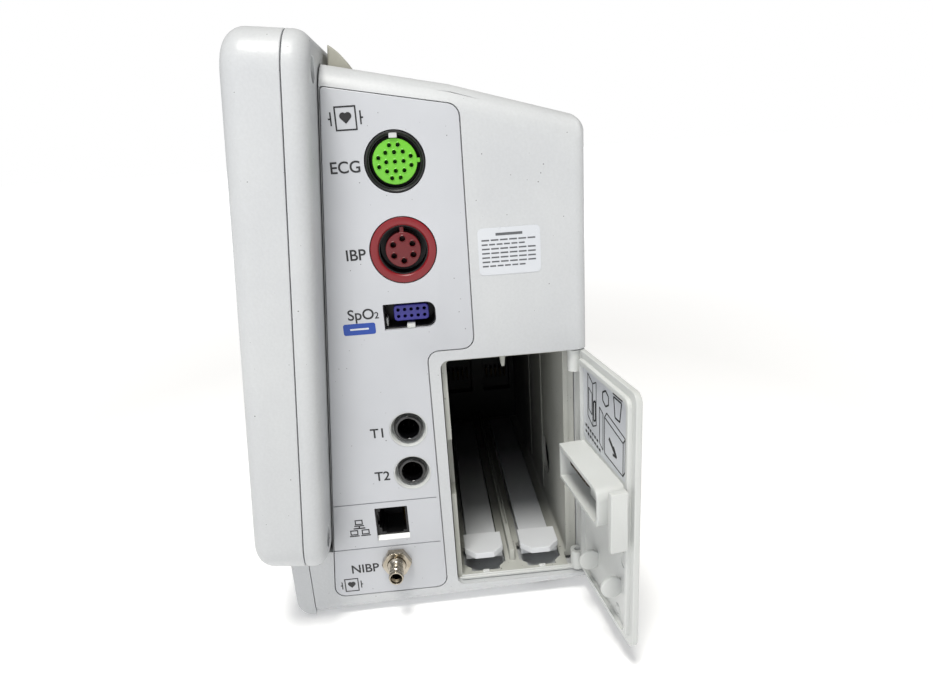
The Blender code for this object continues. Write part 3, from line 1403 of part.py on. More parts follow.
def battery_door(parent):
    """The door, in its closed attitude about the hinge axis; the hinge empty swings it open."""
    hinge = make_empty(
        "door_hinge_axis", (HINGE_X, HINGE_Y, 0), parent, rotation=(0, 0, DOOR_OPEN)
    )
    low, high = DOOR_BOTTOM_Z + DOOR_EDGE_GAP, DOOR_TOP_Z - DOOR_EDGE_GAP
    outer, inner = HINGE_DEPTH, HINGE_DEPTH - DOOR_THICKNESS
    outline = rounded(
        [
            (-DOOR_REACH, low, DOOR_CORNER),
            (DOOR_TAIL, low, 1 * MM),
            (DOOR_TAIL, high, 1 * MM),
            (-DOOR_REACH, high, DOOR_CORNER),
        ]
    )
    door = plate("battery_door", outline, DOOR_THICKNESS, hinge, "YZ", ((outer + inner) / 2, 0, 0))
    rim_low, rim_high = low + DOOR_RIM_INSET, high - DOOR_RIM_INSET
    rim_front, rim_rear = -DOOR_REACH + DOOR_RIM_INSET, -SHELF_START + MM
    rim = plate(
        "door_rim",
        rounded(
            [
                (rim_front, rim_low, DOOR_CORNER - MM),
                (rim_rear, rim_low, 1 * MM),
                (rim_rear, rim_high, 1 * MM),
                (rim_front, rim_high, DOOR_CORNER - MM),
            ]
        ),
        DOOR_RIM_HEIGHT + MM,
        hinge,
        "YZ",
        (inner - DOOR_RIM_HEIGHT / 2 + MM / 2, 0, 0),
    )
    join(door, rim)
    floor = 1.6 * MM
    field = box(
        "door_field",
        (inner - 3 * DOOR_RIM_HEIGHT, rim_front + floor, rim_low + floor),
        (inner + LAP / 2, rim_rear - floor, rim_high - floor),
        hinge,
    )
    cut(door, field)
    shelf_x = (inner - SHELF_DEPTH, inner + MM / 2)
    thick = SHELF_THICKNESS
    slot_low, slot_high = SHELF_LOWER_Z + thick, SHELF_UPPER_Z - thick
    inside = (SHELF_LOWER_Z + LAP, SHELF_UPPER_Z - LAP)
    ribs = [
        ("upper_shelf", -SHELF_END, -SHELF_START, SHELF_UPPER_Z - thick, SHELF_UPPER_Z),
        ("lower_shelf", -SHELF_END, -SHELF_START, SHELF_LOWER_Z, SHELF_LOWER_Z + thick),
        ("shelf_end", -SHELF_END, -SHELF_END + thick, *inside),
        ("spring_seat", -SHELF_START - thick, -SHELF_START - LAP, *inside),
    ]
    for name, front, rear, bottom, top in ribs:
        join(door, box(name, (shelf_x[0], front, bottom), (shelf_x[1], rear, top), hinge))
    knuckles = [
        (0, 0, low + LAP + KNUCKLE_LENGTH / 2),
        (0, 0, high - LAP - KNUCKLE_LENGTH / 2),
    ]
    join(door, rods("knuckles", knuckles, KNUCKLE_RADIUS, KNUCKLE_LENGTH, (0, 0, 1), hinge, 20))
    pin_room = 2 * (KNUCKLE_LENGTH + MM)
    bores = [(0, 0, low), (0, 0, high)]
    cut(door, rods("knuckle_bores", bores, HINGE_PIN_RADIUS + PIN_GAP, pin_room, (0, 0, 1), hinge, 16))
    for index, (y, z) in enumerate(FIN_PLACES):
        place = (outer - FIN_RADIUS - LAP, y, z)
        fin = rod(f"door_fin_{index + 1}", place, FIN_RADIUS, FIN_THICKNESS, (0, 1, 0), hinge, 16)
        join(door, fin)
    bar_slot = box(
        "latch_bar_slot",
        (inner - LATCH_BAR_HEIGHT - SLIDE_GAP, -SHELF_END - MM, slot_low + LATCH_BAR_MARGIN),
        (inner - LAP, -SHELF_END + thick + MM, slot_high - LATCH_BAR_MARGIN),
        hinge,
    )
    cut(door, bar_slot)
    finish(weld(door), "housing_abs")
    door_latch(hinge, inner, slot_low, slot_high)


def door_latch(hinge, inner, slot_low, slot_high):
    """Sliding latch between the door's two shelves and the spring that pushes it out."""
    clear = SLIDE_GAP
    bar_x = (inner - LATCH_BAR_HEIGHT, inner - DOOR_RIM_HEIGHT - clear)
    block_rear = -SHELF_END - GAP - LATCH_TRAVEL
    latch = box(
        "door_latch",
        (bar_x[0], block_rear - MM, slot_low + LATCH_BAR_MARGIN + clear),
        (bar_x[1], -SPRING_END, slot_high - LATCH_BAR_MARGIN - clear),
        hinge,
    )
    half = LATCH_BLOCK_HEIGHT / 2
    block = box(
        "latch_block",
        (inner - LATCH_BLOCK_RISE, block_rear - LATCH_BLOCK_DEPTH, LATCH_BLOCK_Z - half),
        (bar_x[1] - LAP, block_rear, LATCH_BLOCK_Z + half),
        hinge,
    )
    tip = -DOOR_REACH - DOOR_EDGE_GAP + LATCH_STRIKE_GAP
    hook_x = bar_x[1] - MM / 2
    hook = plate(
        "latch_hook",
        [
            (hook_x, block_rear - MM),
            (inner - LATCH_BLOCK_RISE + LAP, block_rear - MM),
            (hook_x, tip),
        ],
        LATCH_BLOCK_HEIGHT * LATCH_HOOK_SHARE,
        hinge,
        "XY",
        (0, 0, LATCH_BLOCK_Z + half * 0.5),
    )
    join(latch, block)
    join(latch, hook)
    finish(latch, "housing_abs")
    middle_z = (slot_low + slot_high) / 2
    latch_spring(hinge, bar_x[0] + SPRING_RADIUS - MM, middle_z)


def latch_spring(hinge, x, z):
    """Compression spring along the door, from the shelf's root to the latch bar."""
    start = -SHELF_START - SHELF_THICKNESS - SPRING_WIRE - GAP
    end = -SPRING_END + SPRING_WIRE + GAP
    curve = bpy.data.curves.new("latch_spring", "CURVE")
    curve.dimensions = "3D"
    curve.bevel_depth = SPRING_WIRE
    curve.bevel_resolution = 0
    curve.use_fill_caps = True
    per_turn = 8
    total = SPRING_TURNS * per_turn
    spline = curve.splines.new("POLY")
    spline.points.add(total)
    for index, point in enumerate(spline.points):
        angle = 2 * math.pi * index / per_turn
        y = start + (end - start) * index / total
        offset = (SPRING_RADIUS * math.cos(angle), y, SPRING_RADIUS * math.sin(angle))
        point.co = (x + offset[0], offset[1], z + offset[2], 1)
    spring = bpy.data.objects.new("latch_spring", curve)
    spring.parent = hinge
    curve.materials.append(MATERIALS["spring_steel"])
    PARTS.objects.link(spring)


def hinge_pins(parent):
    """Short steel pins, pressed into the housing's lugs, that the door's knuckles turn on."""
    reach, grip = HINGE_PIN_REACH - 2.4 * MM, KNUCKLE_LENGTH - MM
    low = DOOR_BOTTOM_Z + DOOR_EDGE_GAP
    high = DOOR_TOP_Z - DOOR_EDGE_GAP
    for name, bottom, top in (
        ("hinge_pin_bottom", DOOR_BOTTOM_Z - reach, low + grip),
        ("hinge_pin_top", high - grip, DOOR_TOP_Z + reach),
    ):
        place = (HINGE_X, HINGE_Y, (bottom + top) / 2)
        pin = rod(name, place, HINGE_PIN_RADIUS, top - bottom, (0, 0, 1), parent, 16)
        finish(pin, "steel")


# ---------------------------------------------------------------- rear fittings and inside


def power_inlet(parent):
    """Three-pin appliance inlet in the rear wall."""
    width, height = INLET_SIZE
    body = box(
        "power_inlet",
        (INLET_X - width / 2, CHASSIS_REAR_Y - INLET_DEPTH, INLET_Z - height / 2),
        (INLET_X + width / 2, CHASSIS_REAR_Y + 1 * MM, INLET_Z + height / 2),
        parent,
    )
    wall = INLET_WALL
    cavity = box(
        "inlet_cavity",
        (INLET_X - width / 2 + wall, CHASSIS_REAR_Y - INLET_DEPTH + wall, INLET_Z - height / 2 + wall),
        (INLET_X + width / 2 - wall, CHASSIS_REAR_Y + OVERSHOOT, INLET_Z + height / 2 - wall),
        parent,
    )
    cut(body, cavity)
    root = CHASSIS_REAR_Y - INLET_DEPTH + wall - MM / 2
    for index, (dx, dz) in enumerate(((-7 * MM, -2 * MM), (0, 2 * MM), (7 * MM, -2 * MM))):
        pin = box(
            f"inlet_pin_{index + 1}",
            (INLET_X + dx - 1 * MM, root, INLET_Z + dz - 2 * MM),
            (INLET_X + dx + 1 * MM, CHASSIS_REAR_Y - 3 * MM, INLET_Z + dz + 2 * MM),
            parent,
        )
        join(body, pin)
    finish(body, "black_nylon")
    stud = rod(
        "ground_stud", (STUD_X, STUD_END_Y - STUD_LENGTH / 2, INLET_Z), STUD_RADIUS, STUD_LENGTH,
        (0, 1, 0), parent, 16
    )
    finish(stud, "nickel")


def boards(parent, display):
    """Main board behind the display, parameter board behind the sockets and the power supply."""
    reach = HALF_WIDTH - MAIN_BOARD_MARGIN
    under_well = top_z(WELL_REAR_Y) - WELL_DEPTH - WALL - MM
    main = box(
        "main_board",
        (-reach, MAIN_BOARD_DEPTH, MAIN_BOARD_LOW),
        (reach - WELL_SIDE, MAIN_BOARD_DEPTH + BOARD_THICKNESS, under_well - MM - DISPLAY_CENTRE_Z),
        display,
    )
    finish(main, "circuit_board")
    socket_back = HALF_WIDTH - PANEL_THICKNESS - SPO2_DEPTH - 2 * GAP
    parameter = box(
        "parameter_board",
        (socket_back - BOARD_THICKNESS, PARAMETER_BOARD_Y[0], BAY_TOP_Z + 3 * BAY_WALL),
        (socket_back, PARAMETER_BOARD_Y[1], under_well),
        parent,
    )
    finish(parameter, "circuit_board")
    supply = box(
        "power_supply",
        (SUPPLY_X[0], SUPPLY_Y[0], BAY_TOP_Z + BAY_WALL + SUPPLY_RISE[0]),
        (SUPPLY_X[1], SUPPLY_Y[1], BAY_TOP_Z + BAY_WALL + SUPPLY_RISE[1]),
        parent,
    )
    finish(bevel(supply, 1 * MM, 1), "steel")


def speaker(parent):
    """Alarm loudspeaker against the grille in the -X wall."""
    face = -HALF_WIDTH + WALL + GAP
    body = rod(
        "speaker", (face + 8 * MM, SPEAKER_Y, SPEAKER_Z), SPEAKER_RADIUS, 16 * MM, (1, 0, 0), parent,
        24, SPEAKER_RADIUS * 0.6,
    )
    finish(body, "black_nylon")


def blood_pressure_parts(parent):
    """Pump, valve block and the hose that joins the block to the cuff fitting."""
    pump_z = BAY_TOP_Z + BAY_WALL + PUMP_RISE + PUMP_RADIUS
    pump = rod("nibp_pump", (PUMP_X, PUMP_Y, pump_z), PUMP_RADIUS, PUMP_LENGTH, (1, 0, 0), parent)
    finish(pump, "steel")
    block_low = Vector(
        (PUMP_X + PUMP_LENGTH / 2 + VALVE_GAP, PUMP_Y - VALVE_SIZE[1] / 2, pump_z - VALVE_SIZE[2] / 2)
    )
    block_high = block_low + Vector(VALVE_SIZE)
    finish(box("nibp_valve_block", block_low, block_high, parent), "black_nylon")
    y, z = NIBP_CENTRE
    start = Vector((HALF_WIDTH - NIBP_THREAD_LENGTH - HOSE_GAP, y, z))
    end = Vector((block_high.x + HOSE_GAP, PUMP_Y, pump_z))
    curve = bpy.data.curves.new("nibp_hose", "CURVE")
    curve.dimensions = "3D"
    curve.bevel_depth = HOSE_RADIUS
    curve.bevel_resolution = 2
    curve.use_fill_caps = True
    spline = curve.splines.new("POLY")
    spline.points.add(HOSE_POINTS)
    for index, point in enumerate(spline.points):
        share = index / HOSE_POINTS
        smooth = share**3 * (6 * share**2 - 15 * share + 10)
        place = (start.lerp(end, share).x, *start.lerp(end, smooth).yz)
        point.co = (*place, 1)
    hose = bpy.data.objects.new("nibp_hose", curve)
    hose.parent = parent
    curve.materials.append(MATERIALS["hose_silicone"])
    PARTS.objects.link(hose)


def build():
    root = make_empty("monitor_frame", (-CENTRE_X, -CENTRE_Y, 0))
    display = make_empty(
        "display_frame", (0, DISPLAY_BACK_Y, DISPLAY_CENTRE_Z), root, (-DISPLAY_TILT, 0, 0)
    )
    bpy.context.view_layer.update()
    rear_housing(root)
    lower_front_cover(root)
    feet(root)
    front_bezel(display)
    display_rear_cover(display)
    display_screws(display)
    screen_parts(display)
    alarm_lamp(display)
    board_back = keys(display)
    knob(display, board_back)
    carry_handle(root)
    connector_panel(root)
    round_socket(
        "ecg", ECG_CENTRE, ECG_RADIUS, ECG_RADIUS - ECG_WALL, ECG_INSERT_RADIUS,
        ("black_nylon", "green_nylon"), root,
    )
    round_socket(
        "ibp", IBP_CENTRE, IBP_RADIUS, IBP_BORE_RADIUS, IBP_INSERT_RADIUS,
        ("red_nylon", "red_nylon"), root,
    )
    spo2_socket(root)
    temperature_jacks(root)
    network_jack(root)
    nibp_fitting(root)
    battery_bay(root)
    battery_catches(root)
    battery_contacts(root)
    battery_door(root)
    hinge_pins(root)
    power_inlet(root)
    boards(root, display)
    speaker(root)
    blood_pressure_parts(root)


clear_scene()
PARTS = make_collection(OBJECT_NAME)
CUTTERS = make_collection("cutters")
CUTTERS.hide_render = True
MATERIALS = {name: make_material(name) for name in COLOURS}
build()
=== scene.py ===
"""Finished model of a bedside patient monitor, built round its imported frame.

Every shape is worked out in millimetres in the frame of the sub-assembly that it belongs to, and is
moved to the row's frame and to metres when it is put on the bench. The screen faces -Y, the patient
connectors and the battery door are on the +X side, and +Z is up.
"""

from __future__ import annotations

import json
import logging
import math
from dataclasses import dataclass, field
from enum import Enum
from typing import Callable, Iterable, Sequence

import bmesh
import bpy
from mathutils import Matrix, Vector

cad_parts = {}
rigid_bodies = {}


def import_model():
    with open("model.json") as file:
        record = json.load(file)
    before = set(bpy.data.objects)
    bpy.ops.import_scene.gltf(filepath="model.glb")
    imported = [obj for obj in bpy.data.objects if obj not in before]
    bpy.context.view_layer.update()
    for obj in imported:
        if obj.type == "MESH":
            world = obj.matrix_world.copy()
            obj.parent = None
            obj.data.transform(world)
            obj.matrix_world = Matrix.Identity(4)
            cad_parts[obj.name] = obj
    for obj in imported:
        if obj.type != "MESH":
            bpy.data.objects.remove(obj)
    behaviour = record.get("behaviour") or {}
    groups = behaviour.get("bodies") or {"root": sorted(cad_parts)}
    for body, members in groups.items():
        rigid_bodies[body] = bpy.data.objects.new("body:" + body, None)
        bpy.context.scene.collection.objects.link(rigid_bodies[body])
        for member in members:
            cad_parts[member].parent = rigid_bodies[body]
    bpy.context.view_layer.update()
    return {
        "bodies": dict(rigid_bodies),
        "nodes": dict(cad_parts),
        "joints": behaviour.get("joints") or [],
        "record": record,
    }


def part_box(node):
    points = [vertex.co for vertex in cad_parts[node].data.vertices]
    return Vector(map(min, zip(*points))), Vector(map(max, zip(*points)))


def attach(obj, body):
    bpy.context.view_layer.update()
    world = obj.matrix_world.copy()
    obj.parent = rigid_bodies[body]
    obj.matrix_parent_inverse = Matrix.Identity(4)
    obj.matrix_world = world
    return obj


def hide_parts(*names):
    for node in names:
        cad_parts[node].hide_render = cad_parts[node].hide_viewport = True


LOG = logging.getLogger("patient_monitor")
MM = 0.001
FULL_TURN = 2 * math.pi
MERGE = 0.0005
GAP = 0.3
DISPLAY_GAP = 0.5

Point = tuple[float, float]
Place = tuple[float, float, float]
Outline = Sequence[tuple[float, float, float]]
Solid = bmesh.types.BMesh
Tree = bpy.types.NodeTree
Socket = bpy.types.NodeSocket


class Face(Enum):
    """The two axes that an outline is drawn on; its depth runs along the third."""

    XY = ((1, 0, 0), (0, 1, 0), (0, 0, 1))
    XZ = ((1, 0, 0), (0, 0, 1), (0, -1, 0))
    YZ = ((0, 1, 0), (0, 0, 1), (1, 0, 0))

    def matrix(self) -> Matrix:
        """Matrix that takes the drawing's axes to the sub-assembly's."""
        return Matrix([Vector(axis) for axis in self.value]).transposed().to_4x4()


class Way(Enum):
    """How one solid is combined with another."""

    CUT = "DIFFERENCE"
    ADD = "UNION"


# -------- shapes


def rounded_box(width: float, height: float, radius: float, at: Point = (0, 0)) -> Outline:
    """Gives the corners of a rectangle with equal corner radii.

    Args:
        width: Size along the outline's first axis.
        height: Size along its second axis.
        radius: Radius of every corner.
        at: Middle of the rectangle.

    Returns:
        Four corners in counter-clockwise order.
    """
    a, b = at
    signs = ((-1, -1), (1, -1), (1, 1), (-1, 1))
    return [(a + s * width / 2, b + t * height / 2, radius) for s, t in signs]


def tangent_length(corners: Outline, index: int) -> float:
    """Gives how far from a corner its arc begins.

    Args:
        corners: The outline's corners.
        index: Which corner.

    Returns:
        The length along each side that the arc takes.
    """
    a, b, radius = corners[index]
    before = Vector(corners[index - 1][:2]) - Vector((a, b))
    after = Vector(corners[(index + 1) % len(corners)][:2]) - Vector((a, b))
    return radius / math.tan(before.angle(after) / 2)


def outward(bm: Solid) -> Solid:
    """Turns every face of one closed solid outward.

    Args:
        bm: The solid, changed in place.

    Returns:
        The same solid.
    """
    bmesh.ops.recalc_face_normals(bm, faces=bm.faces)
    if bm.calc_volume(signed=True) < 0:
        bmesh.ops.reverse_faces(bm, faces=bm.faces)
    return bm


def soften(bm: Solid, edges: Iterable[bmesh.types.BMEdge], width: float, steps: int) -> None:
    """Rounds edges in place.

    Args:
        bm: The mesh.
        edges: Its edges to round.
        width: Width of the bevel.
        steps: Number of its segments.
    """
    bmesh.ops.bevel(
        bm, geom=list(edges), offset=width, offset_type="OFFSET", segments=steps, profile=0.5,
        affect="EDGES", clamp_overlap=True, material=-1,
    )


def prism(
    corners: Outline,
    low: float,
    high: float,
    face: Face = Face.XY,
    rim: float = 0.0,
    foot: float = 0.0,
    steps: int = 6,
) -> Solid:
    """Extrudes an outline with rounded corners and softens its two ends.

    Args:
        corners: Counter-clockwise corners: two coordinates and a radius each.
        low: Where the outline starts along its depth axis.
        high: Where it ends.
        face: The axes of the outline.
        rim: Softening of the high end's edges.
        foot: Softening of the low end's edges.
        steps: Segments of every rounding.

    Returns:
        The solid.
    """
    bm = bmesh.new()
    base = bm.faces.new([bm.verts.new((a, b, low)) for a, b, _ in corners])
    grown = bmesh.ops.extrude_face_region(bm, geom=[base])["geom"]
    lifted = [item for item in grown if isinstance(item, bmesh.types.BMVert)]
    bmesh.ops.translate(bm, verts=lifted, vec=(0, 0, high - low))
    for index, (a, b, radius) in enumerate(corners):
        if radius <= 0:
            continue
        upright = [
            edge
            for edge in bm.edges
            if all((Vector((a, b)) - end.co.xy).length < MERGE for end in edge.verts)
        ]
        soften(bm, upright, tangent_length(corners, index), steps)
    outward(bm)
    for level, width in ((high, rim), (low, foot)):
        if width <= 0:
            continue
        ends = [
            item
            for item in bm.faces
            if abs(item.normal.z) > 0.99 and abs(item.calc_center_median().z - level) < MERGE
        ]
        soften(bm, {edge for item in ends for edge in item.edges}, width, steps)
    bm.transform(face.matrix())
    return outward(bm)


def block(low: Place, high: Place, edge: float = 0.0, steps: int = 3) -> Solid:
    """Makes a box between two corners with every edge rounded.

    Args:
        low: Its lowest corner.
        high: Its highest corner.
        edge: Width of the rounding.
        steps: Segments of the rounding.

    Returns:
        The solid.
    """
    size = Vector(high) - Vector(low)
    middle = (Vector(high) + Vector(low)) / 2
    bm = bmesh.new()
    place = Matrix.Translation(middle) @ Matrix.Diagonal((*size, 1))
    bmesh.ops.create_cube(bm, size=1, matrix=place)
    if edge > 0:
        soften(bm, bm.edges[:], edge, steps)
    return bm


def turn_to(axis: Place) -> Matrix:
    """Gives the rotation that takes +Z to an axis."""
    return Vector((0, 0, 1)).rotation_difference(Vector(axis)).to_matrix().to_4x4()


def lathe(
    profile: Sequence[Point],
    centre: Place,
    axis: Place = (1, 0, 0),
    soft: float = 0.0,
    steps: int = 48,
    ring: bool = False,
) -> Solid:
    """Turns a profile of (radius, height) points about an axis.

    Args:
        profile: Points from one end of the axis to the other, or round a ring's section.
        centre: Where height 0 of the axis lies.
        axis: Direction of growing height.
        soft: Rounding of the profile's corners.
        steps: Steps of the full turn.
        ring: Whether the profile closes on itself.

    Returns:
        The closed solid.
    """
    bm = bmesh.new()
    points = [bm.verts.new((radius, 0, height)) for radius, height in profile]
    pairs = list(zip(points, points[1:])) + ([(points[-1], points[0])] if ring else [])
    for first, second in pairs:
        bm.edges.new((first, second))
    corners = [item for item in points if item.co.x > 0 and len(item.link_edges) == 2]
    if soft > 0:
        bmesh.ops.bevel(
            bm, geom=corners, offset=soft, offset_type="OFFSET", segments=3, profile=0.5,
            affect="VERTICES", clamp_overlap=True, material=-1,
        )
    bmesh.ops.spin(
        bm,
        geom=bm.verts[:] + bm.edges[:],
        cent=(0, 0, 0), axis=(0, 0, 1), dvec=(0, 0, 0), angle=FULL_TURN, steps=steps,
        use_merge=True, use_duplicate=False,
    )
    bmesh.ops.remove_doubles(bm, verts=bm.verts, dist=MERGE)
    outward(bm)
    bm.transform(Matrix.Translation(centre) @ turn_to(axis))
    return bm


def flat_ring(inner: float, outer: float, span: Point, centre: Place, axis: Place, steps: int) -> Solid:
    """Makes a flat ring, as a raised mark.

    Args:
        inner: Its inner radius.
        outer: Its outer radius.
        span: Where it starts and ends along the axis.
        centre: Where the axis starts.
        axis: The way that it faces.
        steps: Steps round it.

    Returns:
        The solid.
    """
    low, high = span
    profile = [(inner, low), (inner, high), (outer, high), (outer, low)]
    return lathe(profile, centre, axis, steps=steps, ring=True)


def bar(
    centre: Place,
    radius: float,
    length: float,
    axis: Place = (1, 0, 0),
    soft: float = 0.0,
    sides: int = 32,
) -> Solid:
    """Makes a round bar, or a prism of few sides, centred on a point.

    Args:
        centre: Its middle.
        radius: Radius to its corners.
        length: Length along the axis.
        axis: Direction of the axis.
        soft: Softening of its two rims.
        sides: Number of sides.

    Returns:
        The solid.
    """
    bm = bmesh.new()
    bmesh.ops.create_cone(bm, cap_ends=True, segments=sides, radius1=radius, radius2=radius, depth=length)
    if soft > 0:
        rims = [edge for item in bm.faces if abs(item.normal.z) > 0.99 for edge in item.edges]
        soften(bm, set(rims), soft, 3)
    bm.transform(Matrix.Translation(centre) @ turn_to(axis))
    return bm


def merged(parts: Iterable[Solid]) -> Solid:
    """Puts several separate solids into one mesh.

    Args:
        parts: The solids, which are freed.

    Returns:
        One mesh that holds them all.
    """
    whole = bmesh.new()
    for part in parts:
        mesh = bpy.data.meshes.new("part")
        part.to_mesh(mesh)
        part.free()
        whole.from_mesh(mesh)
        bpy.data.meshes.remove(mesh)
    return whole


def loose_object(bm: Solid) -> bpy.types.Object:
    """Turns a mesh into a scene object for a modifier to use, and frees it."""
    mesh = bpy.data.meshes.new("tool")
    bm.to_mesh(mesh)
    bm.free()
    obj = bpy.data.objects.new("tool", mesh)
    bpy.context.scene.collection.objects.link(obj)
    return obj


def evaluated(obj: bpy.types.Object) -> Solid:
    """Reads an object's mesh with its modifiers applied."""
    bpy.context.view_layer.update()
    graph = bpy.context.evaluated_depsgraph_get()
    mesh = bpy.data.meshes.new_from_object(obj.evaluated_get(graph))
    bm = bmesh.new()
    bm.from_mesh(mesh)
    bpy.data.meshes.remove(mesh)
    return bm


def combined(base: Solid, others: Sequence[Solid], way: Way = Way.CUT) -> Solid:
    """Cuts solids out of a base, or adds them to it, one after the other.

    Args:
        base: The solid that is changed.
        others: The solids that cut or join it.
        way: Whether they cut or join.

    Returns:
        The result. All the given meshes are freed.
    """
    host = loose_object(base)
    tools = [loose_object(other) for other in others]
    for tool in tools:
        modifier = host.modifiers.new("step", "BOOLEAN")
        modifier.operation = way.value
        modifier.solver = "EXACT"
        modifier.object = tool
    result = evaluated(host)
    for obj in (host, *tools):
        bpy.data.objects.remove(obj, do_unlink=True)
    bmesh.ops.remove_doubles(result, verts=result.verts, dist=MERGE)
    return result


def weighted_bevel(bm: Solid, width: float, steps: int, weight_of: Callable[[Vector], float]) -> Solid:
    """Bevels a solid with a different width on each edge.

    Args:
        bm: The solid, which is freed.
        width: Width where the weight is 1.
        steps: Segments of the bevels.
        weight_of: Gives an edge's weight from its middle.

    Returns:
        The bevelled solid.
    """
    host = loose_object(bm)
    layer = host.data.attributes.new("bevel_weight_edge", "FLOAT", "EDGE")
    for edge in host.data.edges:
        first, second = (host.data.vertices[i].co for i in edge.vertices)
        layer.data[edge.index].value = weight_of((first + second) / 2)
    modifier = host.modifiers.new("edges", "BEVEL")
    modifier.width = width
    modifier.segments = steps
    modifier.limit_method = "WEIGHT"
    result = evaluated(host)
    bpy.data.objects.remove(host, do_unlink=True)
    return result


def wire(points: Sequence[Place], radius: float, sides: int = 3, closed: bool = False) -> Solid:
    """Makes a round wire through a row of points.

    Args:
        points: The middle line.
        radius: Radius of the wire.
        sides: Resolution of its round section.
        closed: Whether the last point joins the first.

    Returns:
        The wire as a mesh.
    """
    curve = bpy.data.curves.new("wire", "CURVE")
    curve.dimensions = "3D"
    curve.bevel_depth = radius
    curve.bevel_resolution = sides
    curve.use_fill_caps = True
    spline = curve.splines.new("POLY")
    spline.points.add(len(points) - 1)
    for point, place in zip(spline.points, points):
        point.co = (*place, 1)
    spline.use_cyclic_u = closed
    return from_curve(curve)


def from_curve(curve: bpy.types.Curve) -> Solid:
    """Turns a curve or text into a mesh and removes it.

    Args:
        curve: The curve's data.

    Returns:
        Its mesh, with doubled points merged.
    """
    obj = bpy.data.objects.new("drawn", curve)
    bpy.context.scene.collection.objects.link(obj)
    bm = evaluated(obj)
    bpy.data.objects.remove(obj, do_unlink=True)
    bmesh.ops.remove_doubles(bm, verts=bm.verts, dist=MERGE)
    return outward(bm)


def lettering(text: str, height: float, at: Place, face: Face, lift: float = 0.06) -> Solid:
    """Makes a printed word as a very thin solid.

    Args:
        text: The word.
        height: Height of its capitals.
        at: Middle of the word, on the surface that carries it.
        face: The axes of that surface.
        lift: How far the ink stands out.

    Returns:
        The word's mesh.
    """
    capital_share = 0.72
    curve = bpy.data.curves.new("word", "FONT")
    curve.body = text
    curve.size = height / capital_share
    curve.align_x = "CENTER"
    curve.extrude = lift
    curve.offset = 0.018 * height
    bm = from_curve(curve)
    bmesh.ops.translate(bm, verts=bm.verts, vec=(0, -height / 2, 0))
    bm.transform(Matrix.Translation(at) @ face.matrix())
    return bm


def frame_line(
    width: float, height: float, line: float, at: Point, level: float, face: Face, lift: float = 0.06
) -> Solid:
    """Makes a printed rectangle drawn with a line.

    Args:
        width: Outer width.
        height: Outer height.
        line: Width of the line.
        at: Middle of the rectangle on the surface.
        level: Depth of the surface along the face's depth axis.
        face: The axes of the surface.
        lift: How far the ink stands out.

    Returns:
        The four strokes in one mesh.
    """
    a, b = at
    x, y = width / 2, height / 2
    strokes = (
        (a - x, b - y, a + x, b - y + line), (a - x, b + y - line, a + x, b + y),
        (a - x, b - y + line, a - x + line, b + y - line),
        (a + x - line, b - y + line, a + x, b + y - line),
    )
    return merged(stroke_box(*stroke, level, face, lift) for stroke in strokes)


def stroke_box(
    a0: float, b0: float, a1: float, b1: float, level: float, face: Face, lift: float = 0.06
) -> Solid:
    """Makes one printed bar between two corners on a surface."""
    bm = block((a0, b0, level - lift / 2), (a1, b1, level + lift))
    bm.transform(face.matrix())
    return bm


# -------- finishes


def linear(code: str) -> tuple[float, float, float, float]:
    """Turns an sRGB hex value into a linear colour.

    Args:
        code: Six hex digits after a hash.

    Returns:
        Red, green, blue and an alpha of 1.
    """
    channels = [int(code[i : i + 2], 16) / 255 for i in (1, 3, 5)]
    return (*[c / 12.92 if c <= 0.04045 else ((c + 0.055) / 1.055) ** 2.4 for c in channels], 1.0)


def add_node(tree: Tree, kind: str, inputs: dict | None = None, **settings) -> bpy.types.Node:
    """Adds a shader node with its settings and its inputs.

    Args:
        tree: The material's node tree.
        kind: The node's type name.
        inputs: Values or output sockets, by input name or number.
        settings: Attributes of the node.

    Returns:
        The node.
    """
    made = tree.nodes.new(kind)
    for name, value in settings.items():
        setattr(made, name, value)
    for name, value in (inputs or {}).items():
        if isinstance(value, bpy.types.NodeSocket):
            tree.links.new(value, made.inputs[name])
        else:
            made.inputs[name].default_value = value
    return made


def ramp(tree: Tree, value: Socket, source: Point, target: Point) -> Socket:
    """Maps a value from one span to another, held at the ends.

    Args:
        tree: The node tree.
        value: Socket with the value.
        source: The span that the value is in.
        target: The span that it is brought to.

    Returns:
        The mapped value's socket.
    """
    names = ("From Min", "From Max", "To Min", "To Max")
    spans = dict(zip(names, (*source, *target)))
    return add_node(tree, "ShaderNodeMapRange", {"Value": value, **spans}).outputs["Result"]


def corners(low: Point, high: Point, radii: Sequence[float]) -> Outline:
    """Gives a rectangle between two opposite corners.

    Args:
        low: The corner where both values are smallest.
        high: The corner where both are largest.
        radii: A radius for each corner, round from the low one.

    Returns:
        Its corners.
    """
    (a, b), (c, d) = low, high
    return [(a, b, radii[0]), (c, b, radii[1]), (c, d, radii[2]), (a, d, radii[3])]


